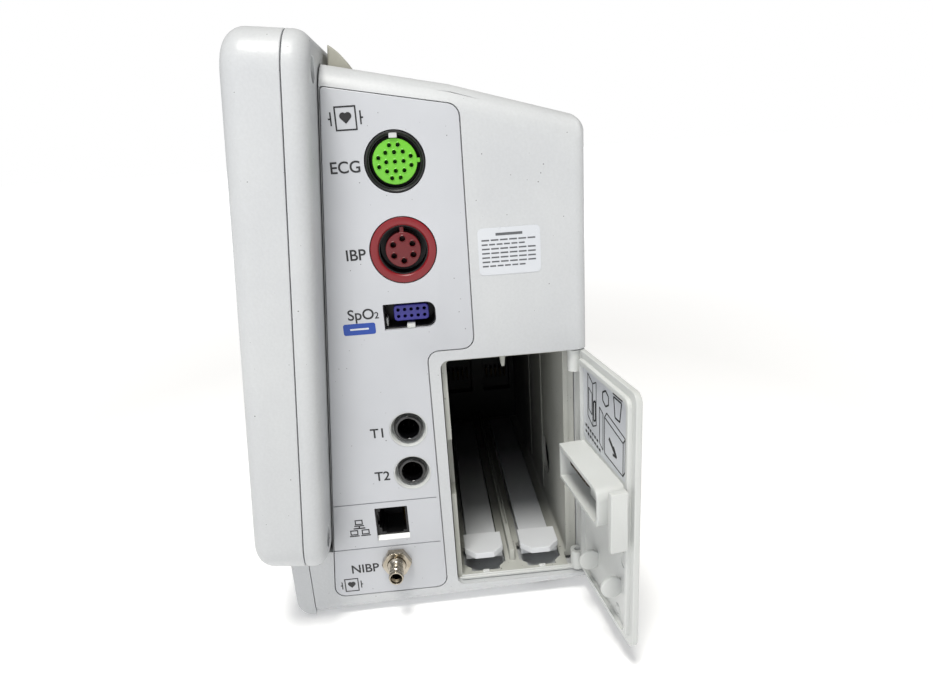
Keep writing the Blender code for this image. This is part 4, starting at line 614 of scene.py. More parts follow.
@dataclass(frozen=True)
class Finish:
    """A surface: its colour, how it was made, and the wear that it shows.

    Sizes are in millimetres. The grain is the relief of the tool or of the raw stock, the mottle is
    the slow change of tone across a moulding, and specks are the small dark marks of use. The shade
    span paints shade into the colour, darker along X towards a bay's far end.
    """

    name: str
    colour: str
    shade: str
    roughness: float
    mottle: float = 45.0
    spread: float = 0.06
    grain: float = 0.0
    depth: float = 0.0
    grain_tone: float = 0.0
    specks: float = 0.0
    metallic: float = 0.0
    ior: float = 1.5
    coat: float = 0.0
    sheen: float = 0.0
    transmission: float = 0.0
    stretch: Place = (1.0, 1.0, 1.0)
    # Painted shade: where along X, in millimetres, the colour is darkest and where it is untouched; equal
    # values paint none.
    shade_span: Point = (0.0, 0.0)

    def build(self) -> bpy.types.Material:
        """Makes the material with its nodes.

        Returns:
            The material.
        """
        made = bpy.data.materials.new(self.name)
        made.use_nodes = True
        tree = made.node_tree
        tree.nodes.clear()
        shader = add_node(tree, "ShaderNodeBsdfPrincipled")
        output = add_node(tree, "ShaderNodeOutputMaterial", {"Surface": shader.outputs["BSDF"]})
        output.location = (300, 0)
        place = add_node(tree, "ShaderNodeTexCoord").outputs["Object"]
        tone = self.specked(tree, place, self.tone(tree, place))
        tree.links.new(self.painted_shade(tree, place, tone), shader.inputs["Base Color"])
        tree.links.new(self.rough(tree, place), shader.inputs["Roughness"])
        if self.depth > 0:
            tree.links.new(self.relief(tree, place), shader.inputs["Normal"])
        shader.inputs["Metallic"].default_value = self.metallic
        if self.metallic < 1:
            shader.inputs["IOR"].default_value = self.ior
        shader.inputs["Coat Weight"].default_value = self.coat
        shader.inputs["Coat Roughness"].default_value = 0.1
        shader.inputs["Sheen Weight"].default_value = self.sheen
        shader.inputs["Transmission Weight"].default_value = self.transmission
        return made

    def noise(self, tree: Tree, place: Socket, size: float, detail: float = 2.0) -> Socket:
        """Adds a noise whose features have a size in millimetres.

        Args:
            tree: The node tree.
            place: Socket with the object coordinates.
            size: Size of the features.
            detail: Octaves of the noise.

        Returns:
            The noise's value socket.
        """
        stretched = add_node(
            tree, "ShaderNodeMapping", {"Vector": place, "Scale": self.stretch}
        ).outputs["Vector"]
        return add_node(
            tree, "ShaderNodeTexNoise",
            {"Vector": stretched, "Scale": 1 / (size * MM), "Detail": detail, "Roughness": 0.55},
        ).outputs["Fac"]

    def tone(self, tree: Tree, place: Socket) -> Socket:
        """Mixes the two tones of the moulding by slow mottling and by the grain.

        Args:
            tree: The node tree.
            place: Socket with the object coordinates.

        Returns:
            The colour socket.
        """
        slow = self.noise(tree, place, self.mottle, 3.0)
        share = ramp(tree, slow, (0.35, 0.65), (0.0, 1.0))
        mixed = add_node(
            tree, "ShaderNodeMix",
            {"Factor": share, 6: linear(self.colour), 7: linear(self.shade)},
            data_type="RGBA",
        ).outputs[2]
        if self.grain_tone <= 0:
            return mixed
        fine = self.noise(tree, place, self.grain, 1.0)
        level = ramp(tree, fine, (0.3, 0.7), (1 - self.grain_tone, 1 + self.grain_tone))
        return add_node(
            tree, "ShaderNodeVectorMath", {0: mixed, 1: level}, operation="MULTIPLY"
        ).outputs["Vector"]

    def specked(self, tree: Tree, place: Socket, tone: Socket) -> Socket:
        """Adds sparse dark specks to a colour.

        Args:
            tree: The node tree.
            place: Socket with the object coordinates.
            tone: The colour socket.

        Returns:
            The colour socket with specks.
        """
        if self.specks <= 0:
            return tone
        speck_size = 0.9
        dots = self.noise(tree, place, speck_size, 0.0)
        edge = 0.86 - 0.06 * self.specks
        share = ramp(tree, dots, (edge, edge + 0.03), (0.0, 0.75))
        return add_node(
            tree, "ShaderNodeMix", {"Factor": share, 6: tone, 7: linear("#2A2622")}, data_type="RGBA"
        ).outputs[2]

    def painted_shade(self, tree: Tree, place: Socket, tone: Socket) -> Socket:
        """Darkens a colour with painted shade that deepens towards the far end of a bay.

        Args:
            tree: The node tree.
            place: Socket with the object coordinates.
            tone: The colour socket.

        Returns:
            The darkened colour socket.
        """
        dark, unshaded = self.shade_span
        if dark == unshaded:
            return tone
        along = add_node(tree, "ShaderNodeSeparateXYZ", {"Vector": place}).outputs["X"]
        share = ramp(tree, along, (dark * MM, unshaded * MM), (0.16, 1.0))
        return add_node(
            tree, "ShaderNodeVectorMath", {0: tone, 1: share}, operation="MULTIPLY"
        ).outputs["Vector"]

    def rough(self, tree: Tree, place: Socket) -> Socket:
        """Varies the roughness a little, as handling and cleaning do.

        Args:
            tree: The node tree.
            place: Socket with the object coordinates.

        Returns:
            The roughness socket.
        """
        patch_size = 16.0
        worn = self.noise(tree, place, patch_size, 4.0)
        return ramp(tree, worn, (0.3, 0.7), (self.roughness - self.spread, self.roughness + self.spread))

    def relief(self, tree: Tree, place: Socket) -> Socket:
        """Turns the grain into a bump.

        Args:
            tree: The node tree.
            place: Socket with the object coordinates.

        Returns:
            The normal socket.
        """
        coarse = self.noise(tree, place, self.grain, 2.0)
        return add_node(
            tree, "ShaderNodeBump", {"Height": coarse, "Strength": 1.0, "Distance": self.depth * MM}
        ).outputs["Normal"]


# Injection-moulded ABS from a spark-eroded tool: a dry, finely pebbled light grey. Its real grain of
# about 0.3 mm is drawn at 1.1 mm, so that it shows as the faint sparkle that it gives at arm's length.
HOUSING = Finish(
    "eroded_abs", "#C3C5C6", "#BDBFC1", 0.42, grain=0.9, depth=0.05, grain_tone=0.02, specks=0.1
)
# The same ABS from a polished insert: smooth and satin, with soft reflections.
PANEL = Finish("satin_abs", "#C0C2C6", "#BABCC0", 0.36, grain=0.8, depth=0.006, specks=0.1)
# The grip's ABS, dulled by hands, with painted shade: a darker olive grey than the housing, for its shadowed
# side.
GRIP = Finish("grip_abs_painted_shade", "#A8A79C", "#9C9A8E", 0.5, grain=0.9, depth=0.04, specks=0.2)
# Unpainted ABS of the inner mouldings: whiter, with the slight gloss of a plain tool.
INNER = Finish("inner_abs", "#CCCECC", "#C5C7C4", 0.36, grain=1.4, depth=0.012)
# The same inside the bay, dulled and specked by dust, with painted shade darkening it towards the far end.
BAY = Finish(
    "dust_and_shade_inner_abs", "#B9BAB4", "#A6A79F", 0.55, grain=1.6, depth=0.02, specks=0.6, shade_span=(-25.0, 84.0)
)
# The catches' tongues: light at the tabs, with painted shade darkening them behind the tabs.
TONGUE = Finish("inner_abs_painted_shade", "#D3D5D8", "#CBCDCF", 0.4, grain=1.4, depth=0.012, shade_span=(-15.0, 66.0))
# The bay's far block: black nylon under a film of dust.
DUSTY_BLACK = Finish("dusty_black_nylon", "#0B0D0C", "#131614", 0.6, grain=1.2, depth=0.01)
# Contact blades dulled by use: brown gold without sparkle.
DULL_GOLD = Finish("worn_gold_flash", "#3B3220", "#2A2418", 0.5, mottle=3.0, metallic=1.0)
# Glass-filled nylon of the connectors: near black, with a dull sheen.
BLACK = Finish("black_nylon", "#0C0C0D", "#121213", 0.42, grain=0.6, depth=0.01)
# Polished black jack barrel: deep gloss.
GLOSS_BLACK = Finish("polished_black", "#070708", "#0A0A0B", 0.12, coat=0.6, spread=0.03)
# Dyed nylon inserts: saturated, satin, with a slight moulding grain.
GREEN = Finish("green_nylon", "#6CC02F", "#63B528", 0.38, grain=0.7, depth=0.008)
RED = Finish("red_nylon", "#7F1019", "#720D15", 0.34, grain=0.7, depth=0.008)
DEEP_RED = Finish("deep_red_nylon", "#650D14", "#580A10", 0.42, grain=0.7, depth=0.008)
VIOLET = Finish("violet_nylon", "#35308F", "#2C2880", 0.4, grain=0.7, depth=0.008)
# Nickel plate over turned brass: warm grey metal with fine turning marks.
NICKEL = Finish(
    "nickel_plate", "#B9B2A6", "#A59C8C", 0.26, mottle=4.0, grain=0.5, depth=0.01, metallic=1.0,
    stretch=(6.0, 1.0, 1.0),
)
# Gold flash on the contact wires.
GOLD = Finish("gold_flash", "#C9A24A", "#B8903C", 0.25, mottle=3.0, metallic=1.0)
# Zinc-plated steel of screws, pins and covers: cool, slightly patchy.
ZINC = Finish("zinc_steel", "#A9ACB0", "#979A9E", 0.32, mottle=9.0, grain=1.2, depth=0.006, metallic=1.0)
# Spring wire, oil-blackened.
SPRING = Finish("spring_wire", "#5B5650", "#3B3733", 0.3, mottle=3.0, metallic=1.0)
# Moulded silicone of the keys and the hose: soft, slightly dusty.
KEY = Finish("grey_silicone", "#5D646D", "#555C65", 0.62, grain=0.9, depth=0.01, sheen=0.15)
HOSE = Finish("clear_silicone", "#C9C9C2", "#BDBDB4", 0.45, grain=2.0, depth=0.01, sheen=0.1)
# Nitrile feet.
RUBBER = Finish("nitrile_rubber", "#232325", "#2B2B2D", 0.8, grain=0.7, depth=0.03, sheen=0.2)
# Hard-coated acrylic over the screen: nearly black, sharp reflections.
ACRYLIC = Finish("coated_acrylic", "#0B0D10", "#0D1013", 0.06, spread=0.02, coat=1.0)
# Tinted lens of the alarm lamp.
LENS = Finish("amber_lens", "#D98A4A", "#C97B3D", 0.16, spread=0.03, ior=1.49, transmission=0.35)
# Solder mask over glass fibre.
BOARD = Finish("solder_mask", "#0F4A2A", "#0B3D22", 0.35, mottle=7.0, grain=0.9, depth=0.02)
# Pad-printed ink.
INK = Finish("black_ink", "#1A1A1C", "#212123", 0.5)
# Grey ink of the filler bars and the small drawings on the labels.
GREY_INK = Finish("grey_ink", "#55575A", "#5D5F62", 0.5)
BLUE_INK = Finish("blue_ink", "#1C459F", "#193E92", 0.42)
# Coated paper label: white, satin.
LABEL = Finish("label_film", "#CDD0D4", "#C6C9CE", 0.3, spread=0.04)
# Pale studio paper.
PAPER = Finish("studio_paper", "#FAFAFA", "#F8F8F8", 0.9, mottle=400.0, spread=0.02)


# -------- bench


@dataclass
class Bench:
    """Puts finished solids into the scene: their place, material, smoothness and body."""

    frames: dict[str, Matrix]
    finishes: dict[str, bpy.types.Material] = field(default_factory=dict)
    count: int = 0

    def material(self, finish: Finish) -> bpy.types.Material:
        """Gives a finish's material, made the first time it is asked for."""
        if finish.name not in self.finishes:
            self.finishes[finish.name] = finish.build()
        return self.finishes[finish.name]

    def put(
        self,
        name: str,
        bm: Solid,
        finish: Finish,
        frame: str = "chassis",
        body: str = "chassis",
        replaces: Sequence[str] = (),
        edge: float = 0.0,
        smooth: float = 32.0,
    ) -> bpy.types.Object:
        """Makes a piece from a solid in millimetres.

        Args:
            name: The piece's name.
            bm: Its solid in the sub-assembly's frame, which is freed.
            finish: Its finish.
            frame: The sub-assembly's frame.
            body: The body that it rides on.
            replaces: The nodes that it stands for.
            edge: Width of a bevel on its sharp edges.
            smooth: Angle in degrees above which an edge stays sharp.

        Returns:
            The piece.
        """
        bm.transform(Matrix.Scale(MM, 4) @ self.frames[frame])
        mesh = bpy.data.meshes.new(name)
        bm.to_mesh(mesh)
        bm.free()
        mesh.materials.append(self.material(finish))
        mesh.shade_smooth()
        mesh.set_sharp_from_angle(angle=math.radians(smooth))
        piece = bpy.data.objects.new(name, mesh)
        bpy.context.scene.collection.objects.link(piece)
        if edge > 0:
            bevel = piece.modifiers.new("edges", "BEVEL")
            bevel.width = edge * MM
            bevel.segments = 2
            bevel.limit_method = "ANGLE"
            bevel.angle_limit = math.radians(40)
            bevel.harden_normals = True
        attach(piece, body)
        if replaces:
            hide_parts(*replaces)
        self.count += 1
        LOG.info("piece %s on %s", name, body)
        return piece

    def dress(self, frame_nodes: dict, names: Sequence[str], finish: Finish) -> None:
        """Gives carried-over nodes a better material.

        Args:
            frame_nodes: The frame's nodes by name.
            names: Which of them.
            finish: Their finish.
        """
        for name in names:
            for slot in frame_nodes[name].material_slots:
                slot.material = self.material(finish)
            LOG.info("dressed node %s", name)


# -------- chassis


@dataclass(frozen=True)
class Layout:
    """Sizes that several sub-assemblies share, in the chassis frame."""

    half_width: float = 102.0
    rear: float = 54.5
    seam: float = -54.4
    wall: float = 2.6
    tilt: float = math.radians(5.7)
    display_back: float = -36.15
    display_middle: float = 119.9
    display_height: float = 180.0
    foot: float = 2.0
    floor_rise: float = 3.2
    top_front: float = 201.5
    top_middle: Point = (12.0, 193.3)
    top_rear: float = 181.1
    well_half: float = 88.0
    well_rear: float = 17.0
    well_floor: float = 157.94
    door_low: float = 9.0
    door_high: float = 102.8
    door_front: float = 1.9
    hinge: Point = (98.5, 50.4)

    def display_y(self, z: float) -> float:
        """Gives the depth of the display's back plane at a height."""
        return self.display_back + (z - self.display_middle) * math.tan(self.tilt)

    def under_display(self, y: float) -> float:
        """Gives the height of the plane just under the display at a depth."""
        drop = self.display_height / 2 + 0.8
        foot_y = self.display_back - drop * math.sin(self.tilt)
        foot_z = self.display_middle - drop * math.cos(self.tilt)
        return foot_z + (foot_y - y) * math.tan(self.tilt)

    def bottom(self, y: float) -> float:
        """Gives the height of the floor at a depth."""
        return self.foot + self.floor_rise * (y - self.seam) / (self.rear - self.seam)

    def top(self, y: float) -> float:
        """Gives the height of the top at a depth."""
        front = self.display_y(self.top_front)
        middle_y, middle_z = self.top_middle
        if y < middle_y:
            return self.top_front + (middle_z - self.top_front) * (y - front) / (middle_y - front)
        return middle_z + (self.top_rear - middle_z) * (y - middle_y) / (self.rear - middle_y)

    def profile(self, inset: float = 0.0, run_out: float = 0.0) -> Outline:
        """Gives the chassis's side view.

        Args:
            inset: How far floor, rear and top are drawn in.
            run_out: How far the front is drawn out.

        Returns:
            Corners in depth and height.
        """
        seam_top = self.under_display(self.seam)
        corner_z = self.under_display(self.display_y(seam_top))
        rear = self.rear - inset
        return [
            (self.seam - run_out, self.bottom(self.seam) + inset, 0),
            (rear, self.bottom(self.rear) + inset, 0), (rear, self.top_rear - inset, 0),
            (self.top_middle[0], self.top_middle[1] - inset, 0),
            (self.display_y(self.top_front) + DISPLAY_GAP - run_out, self.top_front - inset, 0),
            (self.display_y(corner_z) + DISPLAY_GAP - run_out, corner_z - inset, 0),
            (self.seam - run_out, seam_top - inset, 0),
        ]


@dataclass
class Housing:
    """Rear housing, lower front cover and feet."""

    bench: Bench
    layout: Layout
    panel: "ConnectorPanel"
    top_fillet: float = 9.0
    edge_fillet: float = 4.0
    recess: float = 11.0
    inlet: Point = (-58.0, 140.0)
    inlet_size: Point = (27.2, 20.0)
    stud_x: float = -20.0

    def shell(self) -> Solid:
        """Builds the hollow shell with its fillets and the hand well.

        Returns:
            The shell before its openings are cut.
        """
        lay = self.layout
        solid = prism(lay.profile(), -lay.half_width, lay.half_width, Face.YZ)

        def weight(middle: Vector) -> float:
            on_side = abs(abs(middle.x) - lay.half_width) < 1
            on_top = abs(middle.z - lay.top(middle.y)) < 1
            at_rear = abs(middle.y - lay.rear) < 1
            at_bottom = abs(middle.z - lay.bottom(middle.y)) < 1
            if on_side and on_top:
                return 1.0
            small = at_rear and (on_side or at_bottom or on_top) or on_side and at_bottom
            return self.edge_fillet / self.top_fillet if small else 0.0

        solid = weighted_bevel(solid, self.top_fillet, 10, weight)
        front = lay.display_y(lay.well_floor) - 15
        well_low = (-lay.well_half, front, lay.well_floor)
        well_high = (lay.well_half, lay.well_rear, lay.top_front + 5)
        half = lay.half_width - lay.wall
        inner = prism(lay.profile(lay.wall, 6), -half, half, Face.YZ)
        keep = block(
            (well_low[0] - lay.wall, front - 20, well_low[2] - lay.wall),
            (well_high[0] + lay.wall, lay.well_rear + lay.wall, well_high[2]),
        )
        inner = combined(inner, [keep])
        well = prism(
            corners((well_low[0], front), (well_high[0], lay.well_rear), (0, 0, 6, 6)),
            lay.well_floor, well_high[2], foot=2.5,
        )
        return combined(solid, [inner, well])

    def openings(self) -> list[Solid]:
        """Builds the solids that cut the shell's openings.

        Returns:
            The cutters.
        """
        lay = self.layout
        x, width = lay.half_width, 4 * lay.wall
        door = corners((lay.door_front, lay.door_low), (lay.rear + 5, lay.door_high), (3.0, 0, 0, 3.0))
        cutters = [
            prism(self.panel.outline(-GAP), x - 1.9, x + 5, Face.YZ),
            prism(self.panel.outline(3.0), x - width, x + 5, Face.YZ),
            prism(door, x - 3 * lay.wall, x + 5, Face.YZ),
            block(
                (x - self.recess, lay.rear - 1.5 * lay.wall, lay.door_low),
                (x, lay.rear + 5, lay.door_high),
            ),
        ]
        slots = []
        ix, iz = self.inlet
        for row in range(6):
            at = (ix, iz - 28.8 - row * 6)
            slots.append(prism(rounded_box(44, 2.4, 1.1, at), -lay.rear - 5, -lay.rear + 6, Face.XZ))
        for row in range(5):
            at = (5.0, 120.1 + row * 6)
            slots.append(prism(rounded_box(26, 2.2, 1.0, at), -x - 5, -x + 6, Face.YZ))
        slots.append(
            prism(
                rounded_box(self.inlet_size[0] + 0.6, self.inlet_size[1] + 0.6, 1.2, self.inlet),
                -lay.rear - 5, -lay.rear + 6, Face.XZ,
            )
        )
        slots.append(bar((self.stud_x, lay.rear, iz), 3.3, 12, (0, 1, 0)))
        return cutters + [merged(slots)]

    def lugs(self) -> Solid:
        """Builds the two lugs that hold the hinge pins."""
        lay = self.layout
        x, y = lay.hinge
        high = (lay.half_width - lay.wall / 2, lay.rear - lay.wall / 2)
        return merged(
            [
                block((x - 3, y - 3, lay.door_high - 1), (*high, lay.door_high + 5)),
                block((x - 3, y - 3, lay.bottom(y) + lay.wall / 2), (*high, lay.door_low + 1)),
            ]
        )

    def build(self) -> None:
        """Makes the housing's pieces."""
        lay = self.layout
        shell = combined(self.shell(), [self.lugs()], Way.ADD)
        x, y = lay.hinge
        pins = bar(
            (x, y, (lay.door_low + lay.door_high) / 2), 1.15, lay.door_high - lay.door_low + 3.6,
            (0, 0, 1),
        )
        shell = combined(shell, [*self.openings(), pins])
        self.bench.put("housing_shell", shell, HOUSING, replaces=["rear_housing"], edge=0.35)
        self.chin()
        self.feet()

    def chin(self) -> None:
        """Makes the lower front cover."""
        lay = self.layout
        front, back = lay.seam - 6.9, lay.seam - GAP
        outline = [
            (front, 2.0, 6.4), (back, 2.0, 0), (back, lay.under_display(back), 0),
            (front, lay.under_display(front), 1.0),
        ]
        cover = prism(outline, -lay.half_width, lay.half_width, Face.YZ, rim=0.9, foot=0.9)
        pocket = block(
            (-lay.half_width + 5.2, front + 2.6, 9.8),
            (lay.half_width - 5.2, back + 5, lay.under_display(back) - 2.6),
        )
        self.bench.put(
            "chin_cover", combined(cover, [pocket]), HOUSING, replaces=["lower_front_cover"], edge=0.3
        )

    def feet(self) -> None:
        """Makes the four rubber feet, each with a gripping ring."""
        lay = self.layout
        for side, x in (("left", -1), ("right", 1)):
            for end, y in (("front", -40.0), ("rear", 38.0)):
                top = lay.bottom(y - 8) - GAP
                profile = [(0, 0.5), (5.2, 0.5), (5.6, 0), (7.6, 0), (8, 0.6), (8, top), (0, top)]
                foot = lathe(profile, (x * (lay.half_width - 16), y, 0), (0, 0, 1), 0.15, 40)
                node = f"foot_{end}_{side}"
                self.bench.put(f"rubber_{node}", foot, RUBBER, replaces=[node])


# -------- connector panel


class Symbol(Enum):
    """The small drawings printed on the connector panel."""

    HEART_BOX = "heart_box"
    NETWORK = "network"


@dataclass
class ConnectorPanel:
    """The smooth side panel with its holes, its two scored lines and its printing."""

    bench: Bench
    layout: Layout
    thickness: float = 1.6
    top_front: float = 194.4
    top_rear: float = 186.6
    upper_rear: float = 14.2
    lower_rear: float = -2.4
    step: float = 106.7
    bottom: float = 9.2
    corner: float = 4.0
    margin: float = 0.9
    letter: float = 3.7
    lines: Point = (49.1, 29.85)

    def outline(self, inset: float = 0.0) -> Outline:
        """Gives the panel's outline in depth and height.

        Args:
            inset: How far it is drawn in.

        Returns:
            Its corners.
        """
        top, bottom = self.top_front - inset, self.bottom + inset
        front = self.margin + inset
        corner = max(self.corner - inset, 1.0)
        return [
            (self.layout.display_y(top) + front, top, 1.0),
            (self.layout.display_y(bottom) + front, bottom, corner),
            (self.lower_rear - inset, bottom, corner),
            (self.lower_rear - inset, self.step + inset, self.corner + inset),
            (self.upper_rear - inset, self.step + inset, corner),
            (self.upper_rear - inset, self.top_rear - inset, corner),
        ]

    def build(self, holes: Sequence[Solid]) -> None:
        """Makes the panel and what is printed on it.

        Args:
            holes: Cutters for the sockets.
        """
        x = self.layout.half_width
        plate = prism(self.outline(), x - self.thickness, x, Face.YZ, rim=0.3, steps=4)
        scores = [
            block((x - 0.5, self.layout.display_y(z) - 5, z - 0.2), (x + 1, self.lower_rear - 1.2, z + 0.2))
            for z in self.lines
        ]
        plate = combined(plate, [*holes, *scores])
        self.bench.put("side_panel", plate, PANEL, replaces=["connector_panel"])
        self.printing()

    def printing(self) -> None:
        """Makes the names of the sockets and the symbols."""
        x = self.layout.half_width
        words = (
            ("ECG", -23.0, 170.3), ("IBP", -23.0, 142.3), ("SpO", -23.6, 122.0),
            ("T1", -22.5, 77.5), ("T2", -22.7, 60.1), ("NIBP", -33.5, 21.1),
        )
        parts = [lettering(text, self.letter, (x, y, z), Face.YZ) for text, y, z in words]
        parts.append(lettering("2", self.letter * 0.62, (x, -18.3, 121.3), Face.YZ))
        parts.append(self.drawing(Symbol.HEART_BOX, (-21.1, 184.8), 6.8))
        parts.append(self.drawing(Symbol.HEART_BOX, (-39.4, 14.0), 5.4))
        parts.append(self.drawing(Symbol.NETWORK, (-33.6, 38.9), 7.4))
        self.bench.put("panel_printing", merged(parts), INK)
        plate = prism(rounded_box(11.0, 4.0, 0.8, (-24.6, 116.8)), x - 0.02, x + 0.05, Face.YZ)
        self.bench.put("blue_marker", plate, BLUE_INK)
        stripe = prism(rounded_box(6.4, 0.6, 0.25, (-24.6, 116.8)), x + 0.04, x + 0.08, Face.YZ)
        self.bench.put("blue_marker_stripe", stripe, LABEL)

    def drawing(self, symbol: Symbol, at: Point, size: float) -> Solid:
        """Draws one symbol.

        Args:
            symbol: Which drawing.
            at: Its middle in depth and height.
            size: Width of its box.

        Returns:
            Its strokes.
        """
        x = self.layout.half_width
        y, z = at
        line = size * 0.07
        if symbol is Symbol.HEART_BOX:
            parts = [frame_line(size, size * 1.08, line, at, x, Face.YZ), self.heart(at, size * 0.62)]
            for side in (-1, 1):
                a = y + side * size * 0.68
                parts.append(
                    stroke_box(a - line / 2, z - size * 0.3, a + line / 2, z + size * 0.3, x, Face.YZ)
                )
                b = a + side * size * 0.12
                low, high = sorted((a, b))
                parts.append(stroke_box(low, z - line / 2, high, z + line / 2, x, Face.YZ))
            return merged(parts)
        parts = []
        unit = size * 0.4
        places = (
            (y, z + size * 0.3), (y - size * 0.29, z - size * 0.28), (y + size * 0.29, z - size * 0.28)
        )
        for a, b in places:
            parts.append(frame_line(unit, unit * 0.72, line * 0.8, (a, b + unit * 0.12), x, Face.YZ))
            parts.append(
                stroke_box(a - unit * 0.62, b - unit * 0.46, a + unit * 0.62, b - unit * 0.32, x, Face.YZ)
            )
        parts.append(stroke_box(y - line / 2, z - line / 2, y + line / 2, z + size * 0.12, x, Face.YZ))
        parts.append(stroke_box(y - size * 0.3, z - line / 2, y + size * 0.3, z + line / 2, x, Face.YZ))
        return merged(parts)

    def heart(self, at: Point, size: float) -> Solid:
        """Draws a solid heart from two discs and a square standing on its corner."""
        x = self.layout.half_width
        y, z = at
        side = size * 0.52
        square = block((x - 0.02, -side / 2, -side / 2), (x + 0.06, side / 2, side / 2))
        square.transform(
            Matrix.Translation((0, y, z - size * 0.02)) @ Matrix.Rotation(math.radians(45), 4, "X")
        )
        reach = side / 2 * math.sqrt(0.5)
        parts = [square]
        for direction in (-1, 1):
            centre = (x + 0.02, y + direction * reach, z - size * 0.02 + reach)
            parts.append(bar(centre, side / 2, 0.075 + 0.004 * direction, sides=24))
        return merged(parts)


# -------- sockets


@dataclass
class RoundSocket:
    """A round patient socket: its shell, its dark throat and its insert with contact holes."""

    bench: Bench
    layout: Layout
    name: str
    centre: Point
    radius: float
    throat: float
    insert: float
    holes: Sequence[Point]
    hole: float
    shell_finish: Finish
    insert_finish: Finish
    depth: float = 10.6
    recess: float = 1.0
    key_angle: float = 0.0

    def at(self, x: float) -> Place:
        """Gives a point on the socket's axis."""
        return (x, *self.centre)

    def hole_cutter(self) -> Solid:
        """Gives the cutter for the panel's hole."""
        return bar(self.at(self.layout.half_width), self.radius + GAP, 8, sides=72)

    def build(self) -> None:
        """Makes the socket's pieces."""
        face = self.layout.half_width
        lip = face - 0.1
        outer, bore = self.radius, self.throat
        profile = [
            (outer, 0), (outer, -self.depth), (0.4 * outer, -self.depth),
            (0.4 * outer, 2 - self.depth), (bore, 2 - self.depth), (bore, -0.5), (bore + 0.5, 0),
        ]
        cup = lathe(profile, self.at(lip), soft=0.18, steps=72, ring=True)
        self.bench.put(f"{self.name}_shell", cup, self.shell_finish, replaces=[f"{self.name}_socket"])
        sleeve = [
            (bore - 0.05, -0.9), (bore - 0.05, 2.2 - self.depth),
            (self.insert + 0.06, 2.2 - self.depth), (self.insert + 0.06, 2.6 - self.depth),
            (bore - 0.35, 2.6 - self.depth), (bore - 0.35, -0.9),
        ]
        lining = lathe(sleeve, self.at(lip), soft=0.05, steps=72, ring=True)
        self.bench.put(f"{self.name}_throat", lining, BLACK)
        self.contacts(face - self.recess)

    def contacts(self, front: float) -> None:
        """Makes the insert with its holes and the raised rim round each.

        Args:
            front: Position of the insert's face along the axis.
        """
        y, z = self.centre
        back = self.layout.half_width - self.depth + 2.3
        body = lathe([(0, front), (self.insert, front), (self.insert, back), (0, back)],
                     (0, y, z), soft=0.25, steps=64)
        drills = merged(bar((front, y + a, z + b), self.hole * 0.5, 9, sides=20) for a, b in self.holes)
        body = combined(body, [drills])
        angle = self.key_angle
        key = block((front - 5, self.insert - 0.4, -0.65), (front - 0.15, self.throat - 0.55, 0.65), 0.15)
        key.transform(Matrix.Translation((0, y, z)) @ Matrix.Rotation(angle, 4, "X"))
        body = combined(body, [key], Way.ADD)
        self.bench.put(f"{self.name}_pins", body, self.insert_finish, replaces=[f"{self.name}_insert"])
        rim = self.hole * 0.5
        rings = merged(
            lathe(
                [(rim, -0.1), (rim, 0.2), (rim + 0.32, 0.0), (rim + 0.32, -0.1)],
                (front, y + a, z + b), soft=0.06, steps=20, ring=True,
            )
            for a, b in self.holes
        )
        self.bench.put(f"{self.name}_pin_rims", rings, self.insert_finish)


@dataclass
class PulseSocket:
    """The rectangular pulse oximetry socket."""

    bench: Bench
    layout: Layout
    centre: Point = (-7.1, 120.1)
    size: Point = (17.8, 9.1)
    insert: Point = (12.0, 5.5)
    shift: Point = (0.6, 0.7)

    def mouth(self, grow: float = 0.0) -> Outline:
        """Gives the mouth: square corners in front, round ones behind."""
        y, z = self.centre
        a, b = self.size[0] / 2 + grow, self.size[1] / 2 + grow
        return corners((y - a, z - b), (y + a, z + b), (0.4, 3.0, 3.0, 0.4))

    def hole_cutter(self) -> Solid:
        """Gives the cutter for the panel's hole."""
        x = self.layout.half_width
        return prism(self.mouth(), x - 4, x + 4, Face.YZ)

    def build(self) -> None:
        """Makes the socket's pieces."""
        face = self.layout.half_width
        y, z = self.centre
        back = face - 1.9
        shell = prism(self.mouth(1.2), back - 12, back, Face.YZ)
        cavity = prism(self.mouth(-0.3), back - 10, back + 5, Face.YZ)
        shell = combined(shell, [cavity])
        self.bench.put("spo2_shell", shell, BLACK, replaces=["spo2_socket"], edge=0.15)
        a, b = y + self.shift[0], z + self.shift[1]
        front = face - 2
        body = prism(rounded_box(*self.insert, 1.2, (a, b)), back - 9.8, front, Face.YZ, rim=0.3, steps=3)
        holes = [(a + (i - 2) * 2.25, b + (j - 0.5) * 2.3) for i in range(5) for j in range(2)]
        body = combined(body, [merged(bar((front, p, q), 0.62, 8, sides=18) for p, q in holes)])
        self.bench.put("spo2_pins", body, VIOLET, replaces=["spo2_insert"])
        tabs = merged(
            [
                block(
                    (face - 5, y - 1.2, z - self.size[1] / 2 + 0.05), (face - 0.3, y + 1.6, z - 3.1), 0.2
                ),
                block((face - 9, y - 8.3, z - self.size[1] / 2 + 0.6), (face - 3.5, y - 7.7, z - 1.0), 0.1),
            ]
        )
        self.bench.put("spo2_key_tabs", tabs, INNER)


